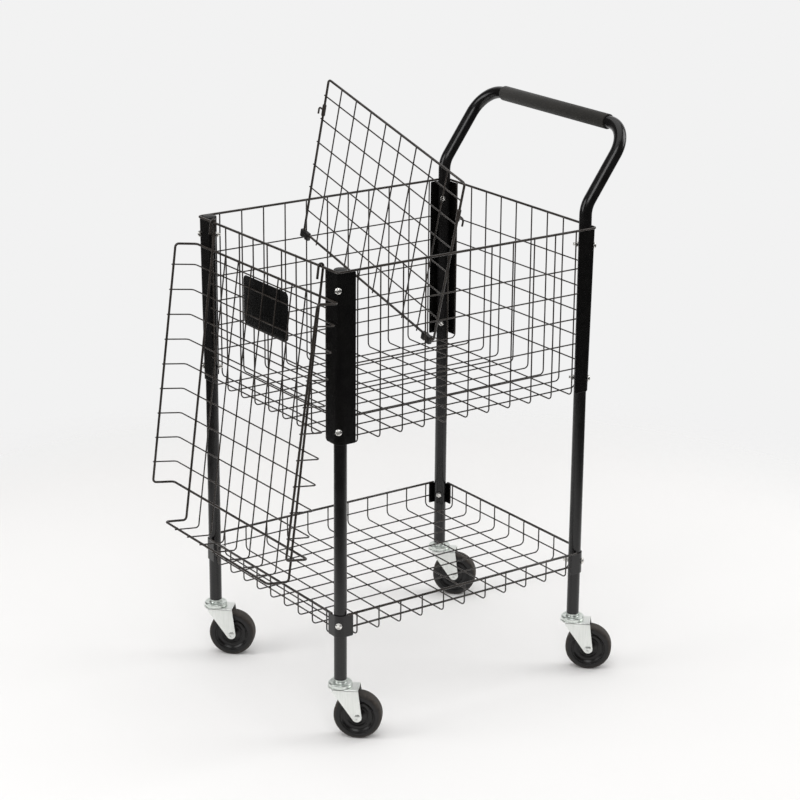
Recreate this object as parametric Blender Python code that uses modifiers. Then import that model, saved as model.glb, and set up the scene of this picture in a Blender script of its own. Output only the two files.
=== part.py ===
"""Wire ball cart: two welded mesh baskets on four tube legs with swivel casters,
a push handle, a lid hooked over the front rim and a loose mesh divider."""
import math

import bmesh
import bpy
from mathutils import Matrix, Vector

# Sizes in metres. X runs from the lid side to the handle side, Z is up.
gap = 0.0003

basket_length = 0.602
basket_width = 0.500
rim_height = 0.934
basket_depth = 0.338
tray_rim_height = 0.256
tray_depth = 0.050
mesh_pitch = 0.051
row_end = 0.004
wall_rows = 5
first_row_drop = 0.0765
tray_row_drop = 0.028
thin_wire = 0.0028
heavy_wire = 0.0048
weld_depth = 0.25
wire_bend = 0.009
rim_corner = 0.005
riser = 0.014

tube_radius = 0.0125
tube_wall = 0.0013
leg_bottom = 0.1194
plug_flange = 0.0016
plug_dome = 0.0032
plug_stem = 0.022

plate_thickness = 0.002
plate_wing = 0.040
plate_length = 0.331
plate_fold = 0.003
bracket_wing = 0.035
bracket_length = 0.043
bolt_radius = 0.0029
bolt_head_radius = 0.0065
bolt_head_height = 0.0042
nut_radius = 0.0058
nut_height = 0.0052
bolt_end = 0.0050
upper_bolt_drop = 0.0345
lower_bolt_drop = 0.308
tray_bolt_drop = 0.0215

handle_rise = 0.041
handle_lean = math.radians(35.8)
handle_bar_height = 1.1194
handle_lower_bend = 0.050
handle_corner_bend = 0.060
handle_joint_drop = 0.150
spigot_length = 0.060
grip_radius = 0.0153
grip_length = 0.338

lid_side_room = 0.0045
lid_cross_pitch = 0.051
lid_end_pitch = 0.0425
lid_first_cross = 0.0563
lid_cross_count = 11
lid_flange = 0.0454
lid_flange_splay = math.radians(7)
lid_hook_clear = 0.0107
lid_long_count = 7
lid_lip_drop = 0.6118
lid_lip = 0.0474
lid_overhang = 0.006
lid_bend = 0.007
hook_tail = 0.024

divider_side_room = 0.024
divider_height = 0.341
divider_columns = 9
divider_first_row = 0.036
divider_rows = 7
divider_lean = math.radians(15.9)
divider_turn = math.radians(1.9)
divider_past_wire = 0.0075
divider_bend = 0.007
divider_stub = 0.0045
divider_hook_level = 0.2735
divider_hook_reach = 0.016
divider_hook_drop = 0.0145
hook_sleeve_radius = 0.004
hook_sleeve_length = 0.024
clip_length = 0.026
clip_height = 0.016
clip_thickness = 0.008
clip_below = 0.012
clip_mouth = 0.0046
clip_mouth_depth = 0.0065
clip_inset = 0.008
clip_overlap = 0.007

nameplate_width = 0.160
nameplate_height = 0.097
nameplate_drop = 0.127
nameplate_thickness = 0.0015
nameplate_corner = 0.010

wheel_radius = 0.0477
wheel_width = 0.030
wheel_segments = 20
hub_radius = 0.0115
hub_boss = 0.0135
web_outer = 0.0325
web_depth = 0.0035
axle_radius = 0.004
axle_head_radius = 0.0072
axle_head_height = 0.0020
caster_trail = 0.0347
caster_heading = math.radians(-42.0)
fork_gap = 0.036
fork_sheet = 0.0025
crown_drop = 0.0148
crown_front_radius = 0.0245
crown_rear = 0.0365
fork_front_top = -0.0150
fork_tip_radius = 0.0095
raceway_radius = 0.0233
kingpin_radius = 0.005
kingpin_head_radius = 0.009
kingpin_head_height = 0.003
stem_length = 0.040

# Sizes that follow from the ones above
tube_inset = tube_radius + gap + heavy_wire / 2
weld_thin = thin_wire * (1 - weld_depth)
weld_mixed = (thin_wire + heavy_wire) / 2 * (1 - weld_depth)
wall_inset = heavy_wire / 2 + gap + thin_wire / 2
row_inset = wall_inset - weld_thin
plate_inner = tube_radius + gap
plate_outer = plate_inner + plate_thickness
bolt_hole_radius = (bolt_radius + gap) / math.cos(math.pi / 6)
wires_along_length = 2 * math.floor((basket_length / 2 - plate_wing - row_end) / mesh_pitch) + 1
wires_along_width = 2 * math.floor((basket_width / 2 - plate_wing - row_end) / mesh_pitch) + 1
lid_width = basket_width + 2 * lid_side_room
lid_hook_spread = (wires_along_width - 1) * mesh_pitch - 2 * lid_hook_clear
divider_width = basket_width - 2 * divider_side_room
divider_x = -mesh_pitch - divider_past_wire
axle_height = wheel_radius * math.cos(math.pi / wheel_segments)
corners = {
    "front_left": (-1, -1),
    "front_right": (-1, 1),
    "rear_left": (1, -1),
    "rear_right": (1, 1),
}

black_paint = ((0.012, 0.012, 0.013, 1), 0.38, 0.0)
black_tube_paint = ((0.010, 0.010, 0.011, 1), 0.26, 0.0)
black_plastic = ((0.014, 0.014, 0.014, 1), 0.45, 0.0)
foam_rubber = ((0.022, 0.022, 0.023, 1), 0.85, 0.0)
tyre_rubber = ((0.018, 0.017, 0.017, 1), 0.62, 0.0)
zinc_plate = ((0.72, 0.73, 0.72, 1), 0.34, 1.0)
bright_chrome = ((0.82, 0.82, 0.82, 1), 0.12, 1.0)
nickel_bolt = ((0.58, 0.57, 0.54, 1), 0.28, 1.0)


for old in list(bpy.data.objects):
    bpy.data.objects.remove(old, do_unlink=True)
cart = bpy.data.collections.new("ball_cart")
bpy.context.scene.collection.children.link(cart)


def show(obj):
    cart.objects.link(obj)
    return obj


def settle(obj):
    """Mesh of an object with its modifiers applied and its ends welded."""
    bpy.context.view_layer.update()
    graph = bpy.context.evaluated_depsgraph_get()
    mesh = bpy.data.meshes.new_from_object(obj.evaluated_get(graph))
    mesh.transform(obj.matrix_world)
    bm = bmesh.new()
    bm.from_mesh(mesh)
    bmesh.ops.remove_doubles(bm, verts=bm.verts, dist=1e-6)
    bmesh.ops.recalc_face_normals(bm, faces=bm.faces)
    bm.to_mesh(mesh)
    bm.free()
    data = obj.data
    is_curve = obj.type == "CURVE"
    bpy.data.objects.remove(obj, do_unlink=True)
    if is_curve:
        bpy.data.curves.remove(data)
    else:
        bpy.data.meshes.remove(data)
    return mesh


def combine(first, second, operation):
    """Exact Boolean of two meshes; both are used up."""
    base = show(bpy.data.objects.new("base", first))
    tool = show(bpy.data.objects.new("tool", second))
    step = base.modifiers.new("Boolean", "BOOLEAN")
    step.operation = operation
    step.solver = "EXACT"
    step.object = tool
    mesh = settle(base)
    bpy.data.objects.remove(tool, do_unlink=True)
    bpy.data.meshes.remove(second)
    return mesh


def join(first, second):
    return combine(first, second, "UNION")


def cut(first, second):
    return combine(first, second, "DIFFERENCE")


def common(first, second):
    return combine(first, second, "INTERSECT")


def place(name, mesh, finish, pivot=(0, 0, 0), smooth=True, parent=None):
    """Turn a mesh in world coordinates into the named piece, with its origin on the pivot."""
    mesh.name = name
    mesh.transform(Matrix.Translation(-Vector(pivot)))
    obj = show(bpy.data.objects.new(name, mesh))
    obj.location = pivot
    if smooth:
        mesh.shade_smooth()
        mesh.set_sharp_from_angle(angle=math.radians(35))
    material = bpy.data.materials.new(name + "_finish")
    material.use_nodes = True
    shader = material.node_tree.nodes["Principled BSDF"]
    shader.inputs["Base Color"].default_value = finish[0]
    shader.inputs["Roughness"].default_value = finish[1]
    shader.inputs["Metallic"].default_value = finish[2]
    mesh.materials.clear()
    mesh.materials.append(material)
    if parent is not None:
        bpy.context.view_layer.update()
        obj.parent = parent
        obj.matrix_parent_inverse = parent.matrix_world.inverted()
    return obj


def round_path(points, radius, steps, closed=False):
    """A polyline whose corners are replaced by arcs of the given radius."""
    points = [Vector(p) for p in points]
    count = len(points)
    path = []
    for i, point in enumerate(points):
        if not closed and i in (0, count - 1):
            path.append(point)
            continue
        to_last = (points[i - 1] - point).normalized()
        to_next = (points[(i + 1) % count] - point).normalized()
        half = to_last.angle(to_next) / 2
        reach = radius / math.tan(half)
        centre = point + (to_last + to_next).normalized() * radius / math.sin(half)
        start = point + to_last * reach - centre
        end = point + to_next * reach - centre
        turn = math.pi - 2 * half
        for k in range(steps + 1):
            part = turn * k / steps
            path.append(centre + (start * math.sin(turn - part) + end * math.sin(part)) / math.sin(turn))
    return path


def wires(paths, diameter, resolution=0, closed=False):
    """Round bars along polylines, one closed tube for each path."""
    curve = bpy.data.curves.new("wires", "CURVE")
    curve.dimensions = "3D"
    curve.bevel_depth = diameter / 2
    curve.bevel_resolution = resolution
    curve.use_fill_caps = not closed
    for path in paths:
        spline = curve.splines.new("POLY")
        spline.points.add(len(path) - 1)
        for spot, point in zip(spline.points, path):
            spot.co = (*point, 1)
        spline.use_cyclic_u = closed
    return settle(show(bpy.data.objects.new("wires", curve)))


def turned(profile, segments, matrix=None, closed=False):
    """Solid of revolution about Z; the profile runs down the outer side."""
    mesh = bpy.data.meshes.new("turned")
    bm = bmesh.new()
    ring = [bm.verts.new((r, 0, z)) for r, z in profile]
    for a, b in zip(ring, ring[1:]):
        bm.edges.new((a, b))
    if closed:
        bm.edges.new((ring[-1], ring[0]))
    bm.to_mesh(mesh)
    bm.free()
    obj = show(bpy.data.objects.new("turned", mesh))
    step = obj.modifiers.new("Screw", "SCREW")
    step.steps = segments
    step.render_steps = segments
    step.use_merge_vertices = True
    step.merge_threshold = 0.00001
    if matrix is not None:
        obj.matrix_world = matrix
    return settle(obj)


def outline(points, thickness, matrix=None):
    """Flat plate from a closed outline in XY, centred on its own plane."""
    curve = bpy.data.curves.new("outline", "CURVE")
    curve.dimensions = "2D"
    curve.fill_mode = "BOTH"
    curve.extrude = thickness / 2
    spline = curve.splines.new("POLY")
    spline.points.add(len(points) - 1)
    for spot, point in zip(spline.points, points):
        spot.co = (point[0], point[1], 0, 1)
    spline.use_cyclic_u = True
    obj = show(bpy.data.objects.new("outline", curve))
    if matrix is not None:
        obj.matrix_world = matrix
    return settle(obj)


def bar(start, end, radius, segments):
    """Plain cylinder between two points."""
    start, end = Vector(start), Vector(end)
    mesh = bpy.data.meshes.new("bar")
    bm = bmesh.new()
    bmesh.ops.create_cone(bm, cap_ends=True, segments=segments, radius1=radius, radius2=radius,
                          depth=(end - start).length)
    turn = (end - start).to_track_quat("Z", "Y").to_matrix().to_4x4()
    bm.transform(Matrix.Translation((start + end) / 2) @ turn)
    bm.to_mesh(mesh)
    bm.free()
    return mesh


def spread(count, pitch):
    return [(i - (count - 1) / 2) * pitch for i in range(count)]


def corner_point(corner, inset):
    sx, sy = corners[corner]
    return sx * (basket_length / 2 - inset), sy * (basket_width / 2 - inset)


def outward(corner):
    sx, sy = corners[corner]
    return Vector((sx, sy, 0)).normalized()


# Baskets: a rim ring, four flat meshes and a floor whose wires turn up at the ends
def rim_ring(name, height):
    x = basket_length / 2
    y = basket_width / 2
    ring = [(x, y, height), (-x, y, height), (-x, -y, height), (x, -y, height)]
    path = round_path(ring, rim_corner, 4, closed=True)
    place(name, wires([path], heavy_wire, 2, closed=True), black_paint)


def mesh_floor(name, level):
    x = basket_length / 2 - wall_inset
    y = basket_width / 2 - wall_inset
    top = level + riser
    along = []
    for offset in spread(wires_along_width, mesh_pitch):
        turn = [(-x, offset, top), (-x, offset, level), (x, offset, level), (x, offset, top)]
        along.append(round_path(turn, wire_bend, 2))
    across = []
    upper = level + weld_thin
    for offset in spread(wires_along_length, mesh_pitch):
        turn = [(offset, -y, top), (offset, -y, upper), (offset, y, upper), (offset, y, top)]
        across.append(round_path(turn, wire_bend, 2))
    place(name, join(wires(along, thin_wire), wires(across, thin_wire)), black_paint)


def mesh_wall(name, side, count, half_span, wing, foot, top, rows):
    """Upright wires on the inside, rows outside them that stop at the corner plates."""
    direction = Vector(side)
    run = Vector((abs(direction.y), abs(direction.x), 0))
    reach = basket_length / 2 if direction.x else basket_width / 2
    inner = direction * (reach - wall_inset)
    outer = direction * (reach - row_inset)
    end = half_span - wing - gap
    uprights = []
    for offset in spread(count, mesh_pitch):
        base = inner + run * offset
        uprights.append([base + Vector((0, 0, foot)), base + Vector((0, 0, top))])
    levels = []
    for row in rows:
        spot = outer + Vector((0, 0, row))
        levels.append([spot - run * end, spot + run * end])
    place(name, join(wires(uprights, thin_wire), wires(levels, thin_wire)), black_paint)


def basket(label, rim, depth, wing, rows):
    rim_ring(label + "_rim", rim)
    level = rim - depth
    mesh_floor(label + "_floor", level)
    foot = level + riser + gap
    sides = {
        "front": ((-1, 0, 0), wires_along_width, basket_width / 2),
        "rear": ((1, 0, 0), wires_along_width, basket_width / 2),
        "left": ((0, -1, 0), wires_along_length, basket_length / 2),
        "right": ((0, 1, 0), wires_along_length, basket_length / 2),
    }
    for side, (direction, count, half_span) in sides.items():
        mesh_wall(label + "_wall_" + side, direction, count, half_span, wing, foot, rim, rows)


basket("basket", rim_height, basket_depth, plate_wing,
       [rim_height - first_row_drop - i * mesh_pitch for i in range(wall_rows)])
basket("tray", tray_rim_height, tray_depth, bracket_wing, [tray_rim_height - tray_row_drop])


# Corner plates and tray brackets: sheet folded round the tube. A corner plate's fold is tight
# at its top and opens downwards until it hugs the tube at its foot
def fold_path(wing, fold):
    reach = wing - tube_inset
    centre = plate_inner - fold
    path = [(-reach, plate_inner)]
    for k in range(5):
        angle = math.radians(90 - 22.5 * k)
        path.append((centre + fold * math.cos(angle), centre + fold * math.sin(angle)))
    return path + [(plate_inner, -reach)]


def ridge(fold):
    """Distance from the tube's axis to the outside of a fold, along the diagonal."""
    return (plate_inner - fold) * math.sqrt(2) + fold + plate_thickness


def folded_sheet(corner, wing, top_fold, top, length, bolt_levels):
    x, y = corner_point(corner, tube_inset)
    sx, sy = corners[corner]
    mesh = bpy.data.meshes.new("sheet")
    bm = bmesh.new()
    rows = []
    for fold, height in ((top_fold, top), (plate_inner, top - length)):
        rows.append([bm.verts.new((x + sx * a, y + sy * b, height)) for a, b in fold_path(wing, fold)])
    edges = [bm.edges.new(pair) for row in rows for pair in zip(row, row[1:])]
    bmesh.ops.bridge_loops(bm, edges=edges)
    bmesh.ops.recalc_face_normals(bm, faces=bm.faces)
    fold = max(bm.faces, key=lambda face: face.calc_center_median().dot(outward(corner)))
    if fold.normal.dot(outward(corner)) < 0:
        bmesh.ops.reverse_faces(bm, faces=bm.faces)
    bm.to_mesh(mesh)
    bm.free()
    obj = show(bpy.data.objects.new("sheet", mesh))
    step = obj.modifiers.new("Solidify", "SOLIDIFY")
    step.thickness = plate_thickness
    step.offset = 1
    step.use_even_offset = True
    sheet = settle(obj)
    axis = Vector((x, y, 0))
    for level in bolt_levels:
        spot = axis + Vector((0, 0, level))
        hole = bar(spot, spot + outward(corner) * (ridge(top_fold) + 0.01), bolt_hole_radius, 6)
        sheet = cut(sheet, hole)
    return sheet


def bolt(name, corner, level, fold):
    """Dome-headed bolt through plate and tube with its nut on the inside."""
    x, y = corner_point(corner, tube_inset)
    seat = ridge(fold) + gap
    nut_seat = tube_radius + gap
    length = seat + nut_seat + nut_height + bolt_end
    profile = [
        (0, bolt_head_height),
        (bolt_head_radius * 0.6, bolt_head_height * 0.86),
        (bolt_head_radius, bolt_head_height * 0.3),
        (bolt_head_radius, 0),
        (bolt_radius, 0),
        (bolt_radius, -length),
        (0, -length),
    ]
    turn = outward(corner).to_track_quat("Z", "Y").to_matrix().to_4x4()
    axis = Vector((x, y, level))
    shank = turned(profile, 8, Matrix.Translation(axis + outward(corner) * seat) @ turn)
    nut_start = axis - outward(corner) * nut_seat
    nut = bar(nut_start, nut_start - outward(corner) * nut_height, nut_radius, 6)
    place(name, join(shank, nut), nickel_bolt)


plate_top = rim_height - heavy_wire / 2 - gap
bracket_top = tray_rim_height - heavy_wire / 2 - gap
upper_bolt_level = rim_height - upper_bolt_drop
lower_bolt_level = rim_height - lower_bolt_drop
tray_bolt_level = tray_rim_height - tray_bolt_drop
fold_growth = (plate_inner - plate_fold) / plate_length
upper_fold = plate_fold + fold_growth * (plate_top - upper_bolt_level)
lower_fold = plate_fold + fold_growth * (plate_top - lower_bolt_level)
for corner in corners:
    plate = folded_sheet(corner, plate_wing, plate_fold, plate_top, plate_length,
                         [upper_bolt_level, lower_bolt_level])
    place("corner_plate_" + corner, plate, black_paint)
    bracket = folded_sheet(corner, bracket_wing, plate_inner, bracket_top, bracket_length, [tray_bolt_level])
    place("tray_bracket_" + corner, bracket, black_paint)
    bolt("bolt_upper_" + corner, corner, upper_bolt_level, upper_fold)
    bolt("bolt_lower_" + corner, corner, lower_bolt_level, lower_fold)
    bolt("bolt_tray_" + corner, corner, tray_bolt_level, plate_inner)


# Legs: open tubes, drilled for the bolts; the front pair runs up to the rim
def drilled(mesh, corner, levels):
    x, y = corner_point(corner, tube_inset)
    for level in levels:
        spot = Vector((x, y, level))
        reach = outward(corner) * (tube_radius + 0.01)
        mesh = cut(mesh, bar(spot - reach, spot + reach, bolt_hole_radius, 6))
    return mesh


def leg(corner, top, levels):
    x, y = corner_point(corner, tube_inset)
    bore = tube_radius - tube_wall
    profile = [(tube_radius, top), (tube_radius, leg_bottom), (bore, leg_bottom), (bore, top)]
    tube = turned(profile, 16, Matrix.Translation((x, y, 0)), closed=True)
    place("leg_" + corner, drilled(tube, corner, levels), black_tube_paint)


leg_top = rim_height - 0.001
joint_level = rim_height - handle_joint_drop
for corner, (sx, sy) in corners.items():
    if sx < 0:
        leg(corner, leg_top, [tray_bolt_level, lower_bolt_level, upper_bolt_level])
        x, y = corner_point(corner, tube_inset)
        base = leg_top + gap
        bore = tube_radius - tube_wall - gap
        profile = [
            (0, base + plug_flange + plug_dome),
            (tube_radius * 0.55, base + plug_flange + plug_dome * 0.82),
            (tube_radius * 0.88, base + plug_flange + plug_dome * 0.4),
            (tube_radius, base + plug_flange),
            (tube_radius, base),
            (bore, base),
            (bore, base - plug_stem),
            (0, base - plug_stem),
        ]
        cap = turned(profile, 16, Matrix.Translation((x, y, 0)))
        place("leg_plug_" + corner, cap, black_plastic)
    else:
        leg(corner, joint_level - gap, [tray_bolt_level, lower_bolt_level])


# Handle: one bent tube whose ends are drawn down to slip into the rear legs
handle_x = basket_length / 2 - tube_inset
handle_y = basket_width / 2 - tube_inset
bend_level = rim_height + handle_rise
bar_x = handle_x + (handle_bar_height - bend_level) * math.tan(handle_lean)
side_run = [
    (handle_x, -handle_y, joint_level),
    (handle_x, -handle_y, bend_level),
    (bar_x, -handle_y, handle_bar_height),
]
foot_run = round_path(side_run, handle_lower_bend, 4)
corner_run = round_path([foot_run[-2], side_run[-1], (bar_x, 0, handle_bar_height)], handle_corner_bend, 5)
half_handle = foot_run[:-2] + corner_run[:-1]
whole_handle = half_handle + [Vector((p.x, -p.y, p.z)) for p in reversed(half_handle)]
handle = wires([whole_handle], tube_radius * 2, 4)
for side in (-1, 1):
    spigot_radius = tube_radius - tube_wall - gap
    start = (handle_x, side * handle_y, joint_level + 0.004)
    end = (handle_x, side * handle_y, joint_level - spigot_length)
    handle = join(handle, bar(start, end, spigot_radius, 12))
for corner in ("rear_left", "rear_right"):
    handle = drilled(handle, corner, [upper_bolt_level])
place("handle_tube", handle, black_tube_paint)

grip_bore = tube_radius + gap
grip_profile = [
    (grip_radius - 0.0015, grip_length / 2),
    (grip_radius, grip_length / 2 - 0.0015),
    (grip_radius, -grip_length / 2 + 0.0015),
    (grip_radius - 0.0015, -grip_length / 2),
    (grip_bore, -grip_length / 2),
    (grip_bore, grip_length / 2),
]
grip_place = Matrix.Translation((bar_x, 0, handle_bar_height)) @ Matrix.Rotation(math.radians(-90), 4, "X")
place("handle_grip", turned(grip_profile, 20, grip_place, closed=True), foam_rubber)


# Name plate on the front wall, outside its rows
nameplate_back = basket_length / 2 - row_inset + thin_wire / 2 + gap
half_w = nameplate_width / 2
half_h = nameplate_height / 2
card_corners = [(half_w, half_h, 0), (-half_w, half_h, 0), (-half_w, -half_h, 0), (half_w, -half_h, 0)]
card = round_path(card_corners, nameplate_corner, 3, closed=True)
card_place = Matrix.Translation((-nameplate_back - nameplate_thickness / 2, 0, rim_height - nameplate_drop))
card_turn = Matrix.Rotation(math.radians(90), 4, "Z") @ Matrix.Rotation(math.radians(90), 4, "X")
place("nameplate", outline(card, nameplate_thickness, card_place @ card_turn), black_plastic)


# Lid: it hangs by two hooks on the front rim and leans its first cross wire on the corner plates
hook_offset = heavy_wire + gap
lean_room = plate_outer - tube_inset + gap + heavy_wire / 2
lid_radius = math.hypot(lid_first_cross, hook_offset)
lid_tilt = math.asin(lean_room / lid_radius) + math.atan(hook_offset / lid_first_cross)
hinge = Vector((-basket_length / 2, 0, rim_height))
down = Vector((-math.sin(lid_tilt), 0, -math.cos(lid_tilt)))
out = Vector((-math.cos(lid_tilt), 0, math.sin(lid_tilt)))


def lid_point(drop, side, lift):
    """Point on the lid: drop along it, side along Y, lift away from the basket."""
    return hinge - out * hook_offset + down * drop + out * lift + Vector((0, side, 0))


cross_drops = [lid_first_cross]
for i in range(lid_cross_count - 2):
    cross_drops.append(lid_first_cross + lid_end_pitch + i * lid_cross_pitch)
cross_drops.append(cross_drops[-1] + lid_end_pitch)
half_lid = lid_width / 2
half_hooks = lid_hook_spread / 2
edge_side = half_lid + lid_flange * math.tan(lid_flange_splay)
frame_corners = []
for side, lift in ((-edge_side, lid_flange), (-half_lid, 0), (half_lid, 0), (edge_side, lid_flange)):
    frame_corners.append(lid_point(cross_drops[0], side, lift))
for side, lift in ((edge_side, lid_flange), (half_lid, 0), (-half_lid, 0), (-edge_side, lid_flange)):
    frame_corners.append(lid_point(cross_drops[-1], side, lift))
lid_frame = wires([round_path(frame_corners, lid_bend, 3, closed=True)], heavy_wire, 1, closed=True)

hook_turn = []
for k in range(6):
    angle = math.pi * k / 5
    reach = -out * hook_offset * math.cos(angle) - down * hook_offset * math.sin(angle)
    hook_turn.append(hinge + reach)
tail = hook_turn[-1] + down * hook_tail
half_loop = [tail] + list(reversed(hook_turn))
half_loop = [p + Vector((0, -half_hooks, 0)) for p in half_loop]
lip_turn = [lid_point(lid_lip_drop - 0.03, -half_hooks, 0), lid_point(lid_lip_drop, -half_hooks, 0),
            lid_point(lid_lip_drop, -half_hooks, lid_lip), lid_point(lid_lip_drop, 0, lid_lip)]
lip_turn = round_path(lip_turn, lid_bend, 3)
half_loop += lip_turn[1:-1]
long_loop = half_loop + [Vector((p.x, -p.y, p.z)) for p in reversed(half_loop)]
lid_loop = wires([long_loop], heavy_wire, 1)

cross_wires = []
flange_end = lid_flange + heavy_wire / 2
for drop in cross_drops[1:-1]:
    reach = half_lid + weld_mixed
    end = reach + flange_end * math.tan(lid_flange_splay)
    shape = [(-end, flange_end), (-reach, -weld_mixed), (reach, -weld_mixed), (end, flange_end)]
    cross_wires.append(round_path([lid_point(drop, side, lift) for side, lift in shape], lid_bend, 2))
long_wires = []
long_lift = weld_thin - weld_mixed
for side in spread(lid_long_count, lid_hook_spread / (lid_long_count + 1)):
    corner_drop = lid_lip_drop - long_lift
    shape = [(lid_first_cross - heavy_wire / 2, long_lift), (corner_drop, long_lift),
             (corner_drop, lid_lip + lid_overhang)]
    long_wires.append(round_path([lid_point(drop, side, lift) for drop, lift in shape], lid_bend, 2))
lid = join(lid_frame, lid_loop)
lid = join(lid, wires(cross_wires, thin_wire))
lid = join(lid, wires(long_wires, thin_wire))
place("lid", lid, black_paint, pivot=hinge)


# Divider: it stands askew, one edge on the left rim and one clip on a row of the right wall
edge_way = Vector((0, -math.cos(divider_lean), -math.sin(divider_lean)))
rise_way = Vector((0, -math.sin(divider_lean), math.cos(divider_lean)))
left_rim = Vector((0, -basket_width / 2, rim_height))
resting_row = Vector((0, basket_width / 2 - row_inset, rim_height - first_row_drop))
along_edge = left_rim.dot(edge_way) - divider_width - heavy_wire - gap
along_rise = resting_row.dot(rise_way) + clip_below + thin_wire / 2 + gap
divider_corner = edge_way * along_edge + rise_way * along_rise + Vector((divider_x, 0, 0))
turned_edge = Matrix.Rotation(divider_turn, 3, "Z") @ edge_way
face_way = turned_edge.cross(rise_way).normalized()


def divider_point(side, rise, face=0.0):
    return divider_corner + turned_edge * side + rise_way * rise + face_way * face


frame_corners = [divider_point(0, 0), divider_point(divider_width, 0),
                 divider_point(divider_width, divider_height), divider_point(0, divider_height)]
frame_loop = round_path(frame_corners, divider_bend, 3, closed=True)
divider_frame = wires([frame_loop], heavy_wire, 1, closed=True)
standing = []
for i in range(1, divider_columns):
    side = divider_width * i / divider_columns
    standing.append([divider_point(side, -divider_stub, weld_mixed),
                     divider_point(side, divider_height + heavy_wire * 0.3, weld_mixed)])
lying = []
row_pitch = (divider_height - divider_first_row) / (divider_rows - 1)
for i in range(divider_rows - 1):
    rise = divider_height - divider_first_row - i * row_pitch
    lying.append([divider_point(-divider_stub, rise, weld_mixed - weld_thin),
                  divider_point(divider_width + heavy_wire * 0.3, rise, weld_mixed - weld_thin)])
hooks = []
sleeves = []
for base, way in ((0, -1), (divider_width, 1)):
    arm = [divider_point(base, divider_hook_level),
           divider_point(base + way * divider_hook_reach, divider_hook_level),
           divider_point(base + way * divider_hook_reach, divider_hook_level - divider_hook_drop)]
    hooks.append(round_path(arm, divider_bend * 0.8, 3))
    sleeves.append(bar(divider_point(base, divider_hook_level - hook_sleeve_length / 2),
                       divider_point(base, divider_hook_level + hook_sleeve_length / 2),
                       hook_sleeve_radius, 10))
divider = join(divider_frame, wires(standing, thin_wire))
divider = join(divider, wires(lying, thin_wire))
divider = join(divider, wires(hooks, heavy_wire * 0.8, 1))
for sleeve in sleeves:
    divider = join(divider, sleeve)
place("divider", divider, black_paint, pivot=divider_corner)


def clip(name, start):
    """Snap clip round the divider's lower wire, with a mouth for a basket wire."""
    shape = [(0, -clip_below), (0, clip_height - clip_below), (clip_length, clip_height - clip_below),
             (clip_length, -clip_below)]
    middle = clip_length / 2
    mouth_top = -clip_below + clip_mouth_depth
    mouth = [(middle + clip_mouth / 2, -clip_below), (middle + clip_mouth * 0.6, mouth_top),
             (middle - clip_mouth * 0.6, mouth_top), (middle - clip_mouth / 2, -clip_below)]
    turn = Matrix((turned_edge, rise_way, face_way)).transposed().to_4x4()
    body = outline(shape + mouth, clip_thickness, Matrix.Translation(divider_point(start, 0)) @ turn)
    room = wires([frame_loop], heavy_wire + 2 * gap, 2, closed=True)
    place(name, cut(body, room), black_plastic)


clip("divider_clip_left", divider_width - clip_inset - clip_length)
clip("divider_clip_right", -clip_overlap)


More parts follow.
